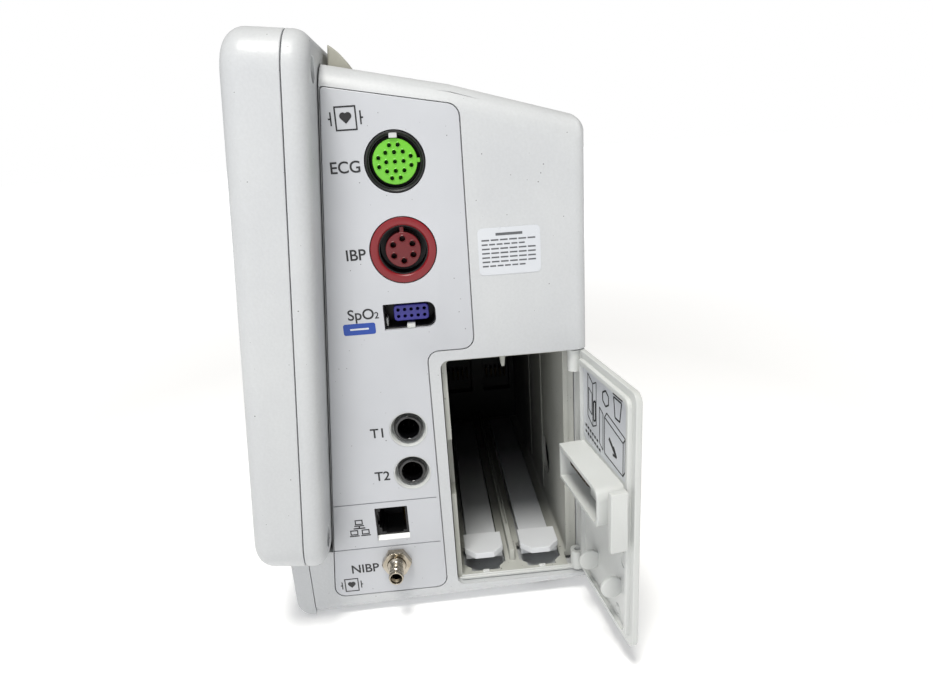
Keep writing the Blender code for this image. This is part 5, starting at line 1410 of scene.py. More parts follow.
@dataclass
class TemperatureJack:
    """A temperature probe jack in its dished recess."""

    bench: Bench
    layout: Layout
    index: int
    centre: Point

    def hole_cutter(self) -> Solid:
        """Gives the cutter for the panel's hole."""
        return bar((self.layout.half_width, *self.centre), 6.95, 8, sides=56)

    def build(self) -> None:
        """Makes the jack, its nut and the dish round it."""
        face = self.layout.half_width
        place = (face, *self.centre)
        barrel = [
            (5.2, -1.6), (5.2, -24.8), (3.3, -24.8), (3.3, -3.0), (3.9, -1.0), (4.4, -0.8), (4.9, -1.0),
        ]
        jack = lathe(barrel, place, soft=0.2, steps=56, ring=True)
        self.bench.put(f"probe_jack_{self.index}", jack, GLOSS_BLACK, replaces=[f"temp_jack_{self.index}"])
        dish = [(6.9, -0.15), (6.9, -4.2), (5.35, -4.2), (5.35, -3.4), (5.8, -3.2), (6.5, -0.15)]
        ring = lathe(dish, place, soft=0.1, steps=56, ring=True)
        self.bench.put(f"probe_dish_{self.index}", ring, INNER)


@dataclass
class NetworkJack:
    """The modular network jack behind its square cut-out."""

    bench: Bench
    layout: Layout
    centre: Point = (-21.1, 39.6)
    size: Point = (12.3, 14.1)

    def hole_cutter(self) -> Solid:
        """Gives the cutter for the panel's hole."""
        x = self.layout.half_width
        return prism(rounded_box(*self.size, 0.3, self.centre), x - 4, x + 4, Face.YZ)

    def build(self) -> None:
        """Makes the jack's shell, its contact wires and the lit sill."""
        face = self.layout.half_width - 1.9
        y, z = self.centre
        a, b = self.size[0] / 2, self.size[1] / 2
        shell = block((face - 16, y - a - 1, z - b - 1), (face, y + a + 1, z + b + 1), 0.2)
        cavity = [
            block((face - 14, y - a + 1.9, z - b + 2.6), (face + 5, y + a - 1, z + b - 1)),
            block((face - 14, y - a + 1.0, z - b + 4.4), (face + 5, y - a + 2.4, z + b - 2.6)),
            block((face - 3, y - a + 0.5, z - b + 5.8), (face + 5, y - a + 2.4, z + b - 4.0)),
            block((face - 14, y - a + 3.4, z - b + 1.9), (face + 5, y + a - 2.4, z - b + 3.2)),
        ]
        self.bench.put("network_shell", combined(shell, cavity), BLACK, replaces=["network_jack"], edge=0.1)
        wires = []
        for i in range(8):
            height = z - 3.2 + i * 1.02
            points = [
                (face - 13, y + a - 1.5, height), (face - 6, y + a - 2.4, height),
                (face - 3.0, y + a - 1.3, height),
            ]
            wires.append(wire(points, 0.16, 2))
        self.bench.put("network_contacts", merged(wires), GOLD)
        sill = prism(
            [(face, z - b - 0.02, 0), (face + 1.55, z - b - 0.02, 0), (face, z - b + 1.3, 0)],
            y - a + 0.1, y + a - 0.1,
        )
        sill.transform(Matrix(((1, 0, 0, 0), (0, 0, 1, 0), (0, 1, 0, 0), (0, 0, 0, 1))))
        self.bench.put("network_sill", outward(sill), INNER)


@dataclass
class CuffFitting:
    """The cuff hose fitting: a hexagonal nut and a ribbed nipple."""

    bench: Bench
    layout: Layout
    centre: Point = (-20.9, 23.3)
    thread: float = 3.4
    bore: float = 1.6

    def hole_cutter(self) -> Solid:
        """Gives the cutter for the panel's hole."""
        return bar((self.layout.half_width, *self.centre), self.thread + GAP, 8, sides=40)

    def build(self) -> None:
        """Makes the nut and the nipple."""
        face = self.layout.half_width
        y, z = self.centre
        corner = 5 / math.cos(math.radians(30))
        nut = bar((face + 1.8, y, z), corner, 3.0, sides=6)
        cone = lathe(
            [(0, -0.1), (corner, -0.1), (corner, 2.3), (5.0, 3.35), (0, 3.35)],
            (face + GAP, y, z), steps=48,
        )
        tools = [bar((face, y, z), self.thread + 0.15, 20, sides=40)]
        nut = combined(nut, [self.outside(cone)])
        self.bench.put("cuff_nut", combined(nut, tools), NICKEL, replaces=["nibp_nut"], edge=0.12)
        ribs: list[Point] = []
        for i in range(5):
            start = 4.6 + i * 0.55
            ribs += [(2.55, start), (2.35, start + 0.28)]
        profile = [
            (self.bore, -12), (self.thread, -12), (self.thread, 3.9), (2.9, 4.3), *ribs,
            (2.3, 7.5), (2.75, 7.9), (2.75, 8.9), (2.35, 9.4), (2.8, 9.9), (2.8, 10.8), (2.6, 11.5),
            (2.2, 11.5), (2.2, 10.6), (self.bore, 9.6),
        ]
        nipple = lathe(profile, (face, y, z), soft=0.06, steps=56, ring=True)
        self.bench.put("cuff_nipple", nipple, NICKEL, replaces=["nibp_nipple"])

    def outside(self, cone: Solid) -> Solid:
        """Turns the chamfer's cone into the cutter of everything outside it."""
        face = self.layout.half_width
        y, z = self.centre
        return combined(bar((face + 1.8, y, z), 9, 6, sides=24), [cone])


# -------- battery bay


@dataclass
class BatteryBay:
    """The tray for two battery packs with its catches, divider, sill and contact block."""

    bench: Bench
    layout: Layout
    front: float = 4.0
    rear: float = 47.5
    low: float = 11.3
    high: float = 101.6
    end: float = -58.0
    wall: float = 1.8
    mouth: float = 99.1
    tab: Point = (14.0, 15.4)
    catch_length: float = 137.0
    catch_width: float = 12.5
    catch_thickness: float = 1.4
    catch_mouth: float = 6.0

    def middles(self) -> Point:
        """Gives the depth of each battery's middle."""
        span = self.rear - self.front
        return (self.front + span * 0.22, self.front + span * 0.74)

    def catch_outline(self, clear: float = 0.0) -> Outline:
        """Gives a catch's outline from its pivot.

        Args:
            clear: How far it is drawn out.

        Returns:
            Its corners.
        """
        length, half = self.catch_length, self.catch_width / 2 + clear
        start, wide = length - self.tab[0] - clear, self.tab[1] / 2 + clear
        end, chamfer = length + clear, 4.0
        side = [(-clear, half), (start, half), (start, wide), (end - chamfer, wide), (end, wide - chamfer)]
        return [(x, -y, 0) for x, y in side] + [(x, y, 0) for x, y in reversed(side)]

    def build(self) -> None:
        """Makes the bay's pieces."""
        self.tray()
        self.sill()
        self.catches()
        self.contacts()

    def tray(self) -> None:
        """Makes the tray with its walls, slots and divider."""
        lay = self.layout
        wall, x = self.wall, lay.half_width
        body = block(
            (self.end - wall, self.front - wall, self.low - wall),
            (self.mouth, self.rear + wall, self.high + wall),
        )
        inside = prism(
            corners((self.front, self.low), (self.rear, self.high), (1.2, 1.2, 1.2, 1.2)),
            self.end, self.mouth + 5, Face.YZ, steps=4,
        )
        recess = x - 11
        room = block(
            (recess, self.rear - 1, self.low - 2 * wall),
            (self.mouth + 5, self.rear + 2 * wall, self.high + 2 * wall),
        )
        body = combined(body, [inside, room])
        jamb = block(
            (recess - wall, self.rear + wall / 2, self.low - wall),
            (recess - 0.3, lay.rear - lay.wall - 0.3, self.high + wall),
        )
        rail, rib, wedge = self.guides()
        body = combined(body, [rail, rib, jamb, wedge, *self.wall_ribs()], Way.ADD)
        eject = bar((x - 53, self.rear, 35), 9, 10, (0, 1, 0), sides=48)
        middle = self.divider
        groove = block((self.end + 12, middle - 0.4, self.low + 3.6), (x - 28, middle + 0.4, self.low + 7))
        notch = block((x - 10.8, self.front - 3 * wall, 48.1), (x, self.front + 0.5, 70.9))
        body = combined(body, [*self.slots(), eject, groove, notch])
        self.bench.put("bay_tray", body, BAY, replaces=["battery_bay"], edge=0.25)

    @property
    def divider(self) -> float:
        """Depth of the divider's middle."""
        return self.front + (self.rear - self.front) * 0.48

    def guides(self) -> list[Solid]:
        """Gives the rail between the packs, the rib over it and the wedge at its mouth."""
        x, middle, wall = self.layout.half_width, self.divider, self.wall
        rail = block(
            (self.end + 9, middle - 1, self.low - wall / 2), (x - 9, middle + 1, self.low + 5), 0.3
        )
        rib = prism(
            [
                (middle - 1.2, self.high + 0.9, 0), (middle - 0.55, self.high - 5.5, 0.3),
                (middle + 0.55, self.high - 5.5, 0.3), (middle + 1.2, self.high + 0.9, 0),
            ],
            x - 12, x - 8, Face.YZ, steps=3,
        )
        wedge = prism(
            [
                (x - 27, self.low - 0.5, 0), (x - 9.4, self.low - 0.5, 0),
                (x - 9.4, self.low + 1.4, 0), (x - 21, self.low + 8.2, 0.5),
                (x - 25, self.low + 8.2, 0.5), (x - 27, self.low + 4.6, 0),
            ],
            middle - 0.9, middle + 0.9, Face.XZ, steps=3,
        )
        return [rail, rib, wedge]

    def wall_ribs(self) -> list[Solid]:
        """Gives the two upright ribs of the rear wall."""
        x, first, pitch = self.layout.half_width, 60, 34
        return [
            block(
                (x - first - i * pitch, self.rear - 0.35, self.low + 3),
                (x - first + 1.4 - i * pitch, self.rear + 0.6, self.high - 3),
            )
            for i in range(2)
        ]

    def slots(self) -> list[Solid]:
        """Gives the cutters of the catches' slots, each with a window before its tab."""
        cutters = []
        length, half = self.catch_length, self.tab[1] / 2
        for y in self.middles():
            window = block((length - 6, 2 - half, -6), (length + 1.5, half - 2, 6))
            slot = combined(prism(self.catch_outline(0.75), -6, 6), [window], Way.ADD)
            bmesh.ops.translate(slot, verts=slot.verts, vec=(self.pivot()[0], y, self.low - self.wall))
            cutters.append(slot)
        return cutters

    def pivot(self) -> Point:
        """Gives the catches' pivot along the bay and its height."""
        x = self.layout.half_width - self.catch_mouth - self.catch_length
        return (x, self.low + 1.4 + self.catch_thickness / 2)

    def sill(self) -> None:
        """Makes the stepped sill across the bay's mouth and its light inner flange."""
        x = self.layout.half_width
        y0, y1 = self.front - 1.4, self.rear + 1.2
        steps = merged(
            [
                block((self.mouth - 0.4, y0, 9.3), (x - 2.3, y1, 10.5), 0.2),
                block((self.mouth - 0.6, y0 + 1.2, 10.3), (x - 2.6, y1 - 0.4, 11.25), 0.15),
            ]
        )
        self.bench.put("bay_sill", steps, INNER)
        nubs = merged(
            block((x - 4.3, y - 1.3, self.low - 0.3), (x - 2.95, y + 1.3, self.low + 0.7), 0.2)
            for y in self.middles()
        )
        self.bench.put("catch_stops", nubs, INNER)

    def catches(self) -> None:
        """Makes the two sprung tongues with their eight-sided tabs."""
        x, z = self.pivot()
        half = self.catch_thickness / 2
        length, wide = self.catch_length, self.tab[1] / 2
        for index, y in enumerate(self.middles()):
            strip = self.catch_width / 2
            tongue = block((0, -strip, -half), (length - 5, strip, half), 0.2)
            outline = [
                (length - self.tab[0], -wide, 0.3), (length - 4, -wide, 0.3),
                (length, -wide + 4, 0.3), (length, wide - 4, 0.3), (length - 4, wide, 0.3),
                (length - self.tab[0], wide, 0.3),
            ]
            tab = prism(outline, half + 1.8, half + 4.2, rim=0.3, steps=3)
            riser = block(
                (length - self.tab[0] + 0.4, 0.3 - wide, -half), (length - 4.6, wide - 0.3, half + 2.2), 0.3
            )
            catch = combined(tongue, [riser, tab], Way.ADD)
            bmesh.ops.translate(catch, verts=catch.verts, vec=(x, y, z))
            name = f"battery_catch_{index + 1}"
            self.bench.put(f"sprung_{name}", catch, TONGUE, body=name, replaces=[name])

    def contacts(self) -> None:
        """Makes the contact block with its windows and the blades in them."""
        start = self.end + 0.3
        low = self.low + 0.3
        body = block((start, self.front + 0.3, low), (start + 8, self.rear - 0.3, self.high - 0.3), 0.3)
        windows = [
            prism(rounded_box(16, 22, 1.0, (y, low + 29)), start + 2, start + 12, Face.YZ, steps=3)
            for y in self.middles()
        ]
        body = combined(body, windows)
        self.bench.put("contact_block", body, DUSTY_BLACK, replaces=["battery_contact_block"], edge=0.2)
        for index, y in enumerate(self.middles()):
            blades = merged(
                block(
                    (start + 2.3, y - 5.9 + i * 2.7, low + 26),
                    (start + 7.7, y - 5.0 + i * 2.7, low + 32), 0.15,
                )
                for i in range(5)
            )
            self.bench.put(
                f"contact_blades_{index + 1}", blades, DULL_GOLD, replaces=[f"battery_terminal_{index + 1}"]
            )


# -------- battery door


@dataclass
class BatteryDoor:
    """The hinged door, drawn shut about its hinge axis, with its latch, spring and label."""

    bench: Bench
    layout: Layout
    reach: float = 48.0
    tail: float = 3.8
    outer: float = 3.5
    thickness: float = 2.2
    low: float = 9.5
    high: float = 102.3
    shelf: float = 9.5
    shelf_start: float = 5.0
    shelf_end: float = 41.5
    shelf_low: float = 54.0
    shelf_high: float = 68.0
    shelf_thickness: float = 1.4
    fins: tuple[Point, ...] = ((-18.0, 25.5), (-38.0, 28.5))

    @property
    def inner(self) -> float:
        """Depth of the door's inner face."""
        return self.outer - self.thickness

    def build(self) -> None:
        """Makes the door's pieces."""
        self.leaf()
        self.latch()
        self.spring()
        self.label()
        self.pins()

    def leaf(self) -> None:
        """Makes the door's leaf: flange, rim, shelves, knuckles and fins."""
        inner, low, high = self.inner, self.low, self.high
        outline = corners((-self.reach, low), (self.tail, high), (3.5, 1.0, 1.0, 3.5))
        leaf = prism(outline, inner, self.outer, Face.YZ, rim=0.6, foot=0.3, steps=5)
        rim = prism(
            corners((-self.reach + 2.6, low + 2.6), (-4.0, high - 2.6), (3.0, 1.0, 1.0, 3.0)),
            inner - 1.4, inner + 1, Face.YZ, foot=0.4, steps=5,
        )
        field_cut = prism(
            corners((-self.reach + 4.2, low + 4.2), (-5.6, high - 4.2), (2.4, 0.8, 0.8, 2.4)),
            inner - 4, inner + 0.1, Face.YZ, steps=5,
        )
        leaf = combined(leaf, [rim], Way.ADD)
        leaf = combined(leaf, [field_cut])
        leaf = combined(leaf, self.channel(), Way.ADD)
        knuckles = [
            bar((0, 0, low + 0.2 + 4), 2.6, 8, (0, 0, 1), sides=36),
            bar((0, 0, high - 0.2 - 4), 2.6, 8, (0, 0, 1), sides=36),
        ]
        fins = [bar((inner - 3, y, z), 4.0, 1.4, (0, 1, 0), 0.3, sides=40) for y, z in self.fins]
        leaf = combined(leaf, [*knuckles, *fins], Way.ADD)
        end, thick = -self.shelf_end, self.shelf_thickness
        slot_low, slot_high = self.shelf_low + thick, self.shelf_high - thick
        cutters = [
            bar((0, 0, low), 1.15, 18, (0, 0, 1), sides=24),
            bar((0, 0, high), 1.15, 18, (0, 0, 1), sides=24),
            block(
                (inner - 5.45, end - 1, slot_low + 0.8), (inner - 0.2, end + thick + 1.5, slot_high - 0.8)
            ),
        ]
        leaf = combined(leaf, cutters)
        self.bench.put("door_leaf", leaf, INNER, "door", "battery_door", ["battery_door"], edge=0.2)
        out = (-1, 0, 0)
        marks = merged(
            [
                flat_ring(2.6, 3.2, (-0.12, 0.1), (inner, -41, 40), out, 40),
                lathe([(0.0, -0.12), (0.0, 0.1), (1.3, 0.1), (1.3, -0.12)], (inner, -36, 17), out, steps=32),
                flat_ring(1.6, 2.1, (-0.12, 0.1), (inner, -36, 17), out, 32),
            ]
        )
        self.bench.put("door_ejector_marks", marks, INNER, "door", "battery_door")

    def channel(self) -> list[Solid]:
        """Gives the channel that stands in from the leaf, and the cheek at its hinge end."""
        depth, start, end = self.inner - self.shelf, -self.shelf_start, -self.shelf_end
        low, high, thick = self.shelf_low, self.shelf_high, self.shelf_thickness
        outside = prism(
            corners((end, low), (start, high), (3.6, 0, 0, 3.6)),
            depth, self.inner + 0.5, Face.YZ, foot=0.35, steps=5,
        )
        hollow = prism(
            corners((end + thick, low + thick), (start - thick, high - thick), (2.4, 0.4, 0.4, 2.4)),
            depth - 5, self.inner + 0.1, Face.YZ, steps=5,
        )
        cheek = block((depth + 3.2, start - 0.2, low + 0.3), (self.inner + 0.5, start + 0.6, high - 0.3))
        return [combined(outside, [hollow]), cheek]

    def latch(self) -> None:
        """Makes the sliding latch: bar, thumb block and hook."""
        inner = self.inner
        slot_low = self.shelf_low + self.shelf_thickness
        slot_high = self.shelf_high - self.shelf_thickness
        bar_x = (inner - 5, inner - 1.85)
        rear = -self.shelf_end - 0.3 - 3
        slide = block((bar_x[0], rear - 1, slot_low + 1.25), (bar_x[1], -24, slot_high - 1.25), 0.25)
        middle, half = 59.5, 10.5
        thumb = prism(
            corners((rear - 3, middle - half), (rear, middle + half), (0.5, 0.5, 0.5, 0.5)),
            inner - 7.6, bar_x[1] - 0.2, Face.YZ, foot=0.4, steps=3,
        )
        hook_x = bar_x[1] - 0.5
        hook = prism(
            [(inner - 7.4, rear - 1, 0.15), (hook_x, -self.reach - 0.1, 0.2), (hook_x, rear - 1, 0)],
            middle + 0.5, middle + 10, steps=3,
        )
        piece = combined(slide, [thumb, hook], Way.ADD)
        self.bench.put("sliding_latch", piece, INNER, "door", "door_latch", ["door_latch"], edge=0.15)

    def spring(self) -> None:
        """Makes the latch's coil spring."""
        turns, per_turn = 9, 20
        start, end = -7.05, -23.35
        count = turns * per_turn
        x, z = self.inner - 5 + 0.9, 61.0
        points = []
        for i in range(count + 1):
            angle = FULL_TURN * i / per_turn
            points.append(
                (x + 1.9 * math.cos(angle), start + (end - start) * i / count, z + 1.9 * math.sin(angle))
            )
        self.bench.put(
            "coil_spring", wire(points, 0.35, 2), SPRING, "door", "battery_door", ["latch_spring"]
        )

    def label(self) -> None:
        """Makes the label with a plain drawing of a battery going into its bay."""
        inner = self.inner
        face = inner - 0.12
        plate = prism(rounded_box(37.0, 28.0, 2.2, (-24.3, 83.6)), face, inner + 0.05, Face.YZ, steps=5)
        self.bench.put("door_label", plate, LABEL, "door", "battery_door")
        strokes: list[Solid] = []

        def line(start: Point, end: Point, width: float = 0.42) -> None:
            first, second = Vector(start), Vector(end)
            length = (second - first).length
            turn = math.atan2(second.y - first.y, second.x - first.x)
            stroke = block((face - 0.05, 0, -width / 2), (face + 0.03, length, width / 2))
            stroke.transform(Matrix.Translation((0, first.x, first.y)) @ Matrix.Rotation(turn, 4, "X"))
            strokes.append(stroke)

        def loop(points: Sequence[Point], width: float = 0.42) -> None:
            for first, second in zip(points, [*points[1:], points[0]]):
                line(first, second, width)

        loop([(-10, 80), (-14.5, 77.6), (-14.5, 93.6), (-10, 96)])
        loop([(-14.5, 77.6), (-17.6, 79.2), (-17.6, 95.2), (-14.5, 93.6)])
        loop([(-10.8, 83), (-13.8, 81.6), (-13.8, 89.6), (-10.8, 91)])
        loop([(-15.3, 80), (-16.9, 80.8), (-16.9, 88), (-15.3, 87.2)], 0.7)
        loop([(-20.5, 74), (-23.5, 72.6), (-23.5, 86), (-20.5, 87.4)])
        loop([(-24.8, 72.2), (-39.5, 71.0), (-39.5, 82.6), (-24.8, 85.4)])
        loop([(-24.8, 85.4), (-26.6, 87.6), (-41, 84.8), (-39.5, 82.6)])
        line((-39.5, 71.0), (-41, 73.2))
        line((-41, 73.2), (-41, 84.8))
        line((-28.5, 79.4), (-33.6, 75.8), 1.3)
        line((-32.0, 78.0), (-34.6, 75.2), 0.9)
        line((-31.6, 74.9), (-34.6, 75.2), 0.9)
        ring = [math.radians(30 + 60 * i) for i in range(6)]
        loop([(-25.6 + 2.8 * math.cos(a), 92.4 + 2.8 * math.sin(a)) for a in ring], 0.6)
        loop([(-33.2, 88.8), (-36.8, 88.8), (-38, 95.6), (-32, 95.6)], 0.6)
        line((-31.4, 96.6), (-38.6, 96.6), 0.6)
        for row, count in enumerate((6, 7)):
            z = 75.6 - row * 2.4
            for i in range(count):
                line((-7.6 - i * 2.05, z - i * 0.3), (-9.0 - i * 2.05, z - i * 0.3 - 0.2), 1.0)
        self.bench.put("door_label_drawing", merged(strokes), INK, "door", "battery_door")

    def pins(self) -> None:
        """Makes the two hinge pins, which stay with the housing."""
        x, y = self.layout.hinge
        for name, low, high in (("hinge_pin_bottom", 7.4, 16.5), ("hinge_pin_top", 95.3, 104.4)):
            pin = bar((x, y, (low + high) / 2), 1.0, high - low, (0, 0, 1), 0.2, 24)
            self.bench.put(f"steel_{name}", pin, ZINC, replaces=[name])


# -------- display


@dataclass
class Display:
    """The tilted display module: both shells, window, lamp, keys and knob.

    Its frame has its origin in the middle of the back plane; depths grow towards the front.
    """

    bench: Bench
    width: float = 240.0
    height: float = 180.0
    depth: float = 25.4
    rear_depth: float = 7.4
    corner: float = 13.0
    wall: float = 2.5
    front_fillet: float = 7.0
    back_fillet: float = 5.0
    screen: Point = (171.0, 128.5)
    screen_at: Point = (13.0, 5.0)
    key: Point = (24.0, 12.0)
    key_x: float = -97.0
    power: Point = (98.0, -74.0)
    key_top: float = 60.0
    key_pitch: float = 18.0
    knob_z: float = -56.0
    boss: Point = (109.0, 79.0)
    keys: tuple[str, ...] = (
        "alarm_silence_key", "alarm_pause_key", "nibp_start_key", "freeze_key", "menu_key"
    )

    def build(self) -> None:
        """Makes the display's pieces."""
        self.bezel()
        self.rear_cover()
        self.window()
        self.lamp()
        self.key_column()
        self.power_key()
        self.knob()
        self.screws()

    def slab(self, low: float, high: float, inset: float = 0.0, rim: float = 0.0, foot: float = 0.0) -> Solid:
        """Makes a slab of the module's outline between two depths."""
        outline = rounded_box(self.width - 2 * inset, self.height - 2 * inset, self.corner - inset)
        return prism(outline, low, high, Face.XZ, rim, foot, steps=8)

    def bezel(self) -> None:
        """Makes the front shell with its openings and the step round the window."""
        back, front = self.rear_depth + 0.15, self.depth
        shell = self.slab(back, front, rim=self.front_fillet, foot=0.35)
        cavity = self.slab(back - 5, front - self.wall, self.wall)
        cuts = [
            cavity,
            prism(rounded_box(*self.screen, 2.0, self.screen_at), front - 8, front + 4, Face.XZ),
            prism(rounded_box(84.6, 6.6, 2.3, (0, 77)), front - 8, front + 4, Face.XZ),
            bar((self.power[0], -front, self.power[1]), 5.95, 14, (0, 1, 0), sides=48),
            bar((self.key_x, -front, self.knob_z), 3.45, 14, (0, 1, 0), sides=36),
            lathe(
                [(0, -0.5), (16.4, -0.5), (17.2, 1), (0, 1)], (self.key_x, -front, self.knob_z),
                (0, -1, 0), steps=64,
            ),
        ]
        for index in range(len(self.keys)):
            at = (self.key_x, self.key_top - index * self.key_pitch)
            cuts.append(prism(rounded_box(24.9, 12.9, 3.45, at), front - 8, front + 4, Face.XZ))
        shell = combined(shell, cuts)
        self.bench.put("front_shell", shell, HOUSING, "display", replaces=["front_bezel"], edge=0.25)

    def rear_cover(self) -> None:
        """Makes the shallow back shell with its screw recesses."""
        back, front = 0.0, self.rear_depth - 0.15
        shell = self.slab(back, front, foot=self.back_fillet, rim=0.35)
        x, z = self.boss
        places = [(s * x, t * z) for s in (-1, 1) for t in (-1, 1)]
        cavity = combined(
            self.slab(self.wall, front + 5, self.wall),
            [merged(bar((a, -5, b), 5.3, 14, (0, 1, 0), sides=32) for a, b in places)],
        )
        cuts = [
            cavity,
            merged(bar((a, 0, b), 3.75, 8, (0, 1, 0), sides=40) for a, b in places),
            merged(bar((a, -8, b), 1.55, 14, (0, 1, 0), sides=20) for a, b in places),
            prism(rounded_box(176, 97.3, 4, (0, -18)), -5, 12, Face.XZ),
        ]
        self.bench.put(
            "rear_shell", combined(shell, cuts), HOUSING, "display",
            replaces=["display_rear_cover"], edge=0.2,
        )

    def window(self) -> None:
        """Makes the clear window."""
        front = self.depth - self.wall - 0.3
        outline = rounded_box(self.screen[0] + 8, self.screen[1] + 8, 2.0, self.screen_at)
        pane = prism(outline, front - 2, front, Face.XZ, rim=0.2, steps=3)
        self.bench.put("screen_window", pane, ACRYLIC, "display", replaces=["display_window"])

    def lamp(self) -> None:
        """Makes the alarm lens with its inner ribs."""
        front = self.depth
        lens = prism(rounded_box(84, 6, 2.0, (0, 77)), front - 3.5, front + 0.95, Face.XZ, rim=0.8, steps=5)
        ribs = merged(
            block((-40 + i * 4, -(front - 2), 74.2), (-39.4 + i * 4, -(front - 4.5), 79.8)) for i in range(21)
        )
        self.bench.put(
            "alarm_lens", combined(lens, [ribs]), LENS, "display", replaces=["alarm_lamp_lens"]
        )

    def cap_mark(self, index: int, at: Point, level: float) -> Solid:
        """Draws the plain mark of one key: dots that count its place in the column."""
        a, b = at
        start = a - index * 1.5
        return merged(
            bar((start + i * 3.0, -level - 0.02, b), 0.8, 0.08, (0, 1, 0), sides=20) for i in range(index + 1)
        )

    def key_column(self) -> None:
        """Makes the five keys, each with a dished cap and its mark."""
        front = self.depth
        for index, name in enumerate(self.keys):
            at = (self.key_x, self.key_top - index * self.key_pitch)
            cap = prism(
                rounded_box(*self.key, 3.0, at), front - 3.9, front + 1.2, Face.XZ, rim=0.8, steps=5
            )
            dish = prism(
                rounded_box(18.5, 7.5, 3.0, at), front + 1.0, front + 3, Face.XZ, foot=0.15, steps=3
            )
            flange = prism(rounded_box(26, 14, 3.6, at), front - 4.0, front - 2.8, Face.XZ)
            cap = combined(combined(cap, [flange], Way.ADD), [dish])
            self.bench.put(f"cap_{name}", cap, KEY, "display", name, [name])
            mark = self.cap_mark(index, at, front + 0.99)
            self.bench.put(f"mark_{name}", mark, LABEL, "display", name)

    def power_key(self) -> None:
        """Makes the round power key with its mark."""
        front = self.depth
        profile = [
            (0, 1.0), (3.9, 1.0), (4.4, 1.2), (5.5, 1.2), (5.5, -2.8), (6.5, -2.8), (6.5, -4.0), (0, -4.0)
        ]
        x, z = self.power
        place = (x, -front, z)
        cap = lathe(profile, place, (0, -1, 0), soft=0.3, steps=48)
        self.bench.put("cap_power_key", cap, KEY, "display", "power_key", ["power_key"])
        ring = combined(
            flat_ring(1.5, 1.9, (0.98, 1.08), place, (0, -1, 0), 36),
            [block((x - 0.7, -front - 3, z + 0.6), (x + 0.7, -front, z + 3))],
        )
        stem = block((x - 0.2, -front - 1.08, z), (x + 0.2, -front - 0.98, z + 2.3))
        self.bench.put("mark_power_key", merged([ring, stem]), LABEL, "display", "power_key")

    def knob(self) -> None:
        """Makes the navigation knob with its gripping flutes."""
        front = self.depth
        place = (self.key_x, -front, self.knob_z)
        profile = [(0, 13.7), (9.5, 13.7), (11, 14.15), (14.85, 14.15), (14.85, 1.2), (3.2, 1.2)]
        profile += [(3.2, 8.2), (0, 8.2)]
        grip = lathe(profile, place, (0, -1, 0), soft=0.7, steps=72)
        flutes = []
        for i in range(24):
            angle = FULL_TURN * i / 24
            across, up = 15.15 * math.cos(angle), 15.15 * math.sin(angle)
            centre = (self.key_x + across, -front - 6.6, self.knob_z + up)
            flutes.append(bar(centre, 0.9, 8.6, (0, 1, 0), sides=12))
        grip = combined(grip, [merged(flutes)])
        self.bench.put("fluted_knob", grip, KEY, "display", "navigation_knob", ["navigation_knob"])

    def screws(self) -> None:
        """Makes the four cross-head screws of the back shell."""
        x, z = self.boss
        index = 0
        for s in (-1, 1):
            for t in (-1, 1):
                index += 1
                place = (s * x, -3.7, t * z)
                profile = [(0, 1.9), (2.2, 1.9), (2.9, 1.2), (3.0, 0), (1.4, 0), (1.4, -8), (0, -8)]
                screw = lathe(profile, place, (0, 1, 0), soft=0.15, steps=32)
                slots = [
                    block((s * x - 1.5, -2.6, t * z - 0.3), (s * x + 1.5, 0, t * z + 0.3)),
                    block((s * x - 0.3, -2.6, t * z - 1.5), (s * x + 0.3, 0, t * z + 1.5)),
                ]
                name = f"display_screw_{index}"
                self.bench.put(f"cross_{name}", combined(screw, slots), ZINC, "display", replaces=[name])


# -------- handle and rear fittings


@dataclass
class Handle:
    """The grip behind the display with its two round-backed cheeks."""

    bench: Bench
    layout: Layout
    centre: Point = (-36.0, 192.0)
    radius: float = 18.98
    half: float = 87.0
    cheek: float = 12.0
    drop: float = 3.0

    def side(self, inset: float, foot: float) -> Outline:
        """Gives a side view: flat along the display, with a round back, down to a foot.

        Args:
            inset: How far it is drawn in.
            foot: Height of its lower end.

        Returns:
            Its corners.
        """
        front = GAP + 1.0 + inset
        radius = self.radius - inset
        cy, cz = self.centre
        first = math.asin((self.layout.display_y(cz + radius) + front - cy) / radius)
        count = 14
        arc = []
        for i in range(count + 1):
            angle = first + (math.pi / 2 - first) * i / count
            arc.append((cy + radius * math.sin(angle), cz + radius * math.cos(angle), 0.0))
        low = [(arc[-1][0], foot, 0.0), (self.layout.display_y(foot) + front, foot, 0.0)]
        return list(reversed(arc + low))

    def build(self) -> None:
        """Makes the handle."""
        low = self.layout.well_floor + GAP
        inner = self.half - self.cheek
        cheeks = [
            prism(self.side(0, low), inner, self.half, Face.YZ, rim=1.2, foot=1.2, steps=4),
            prism(self.side(0, low), -self.half, -inner, Face.YZ, rim=1.2, foot=1.2, steps=4),
        ]
        grip = prism(self.side(0.2, self.centre[1] - self.drop), -inner - 6, inner + 6, Face.YZ)
        whole = merged([grip, *cheeks])
        self.bench.put("grip_handle", whole, GRIP, replaces=["carry_handle"], edge=0.3)


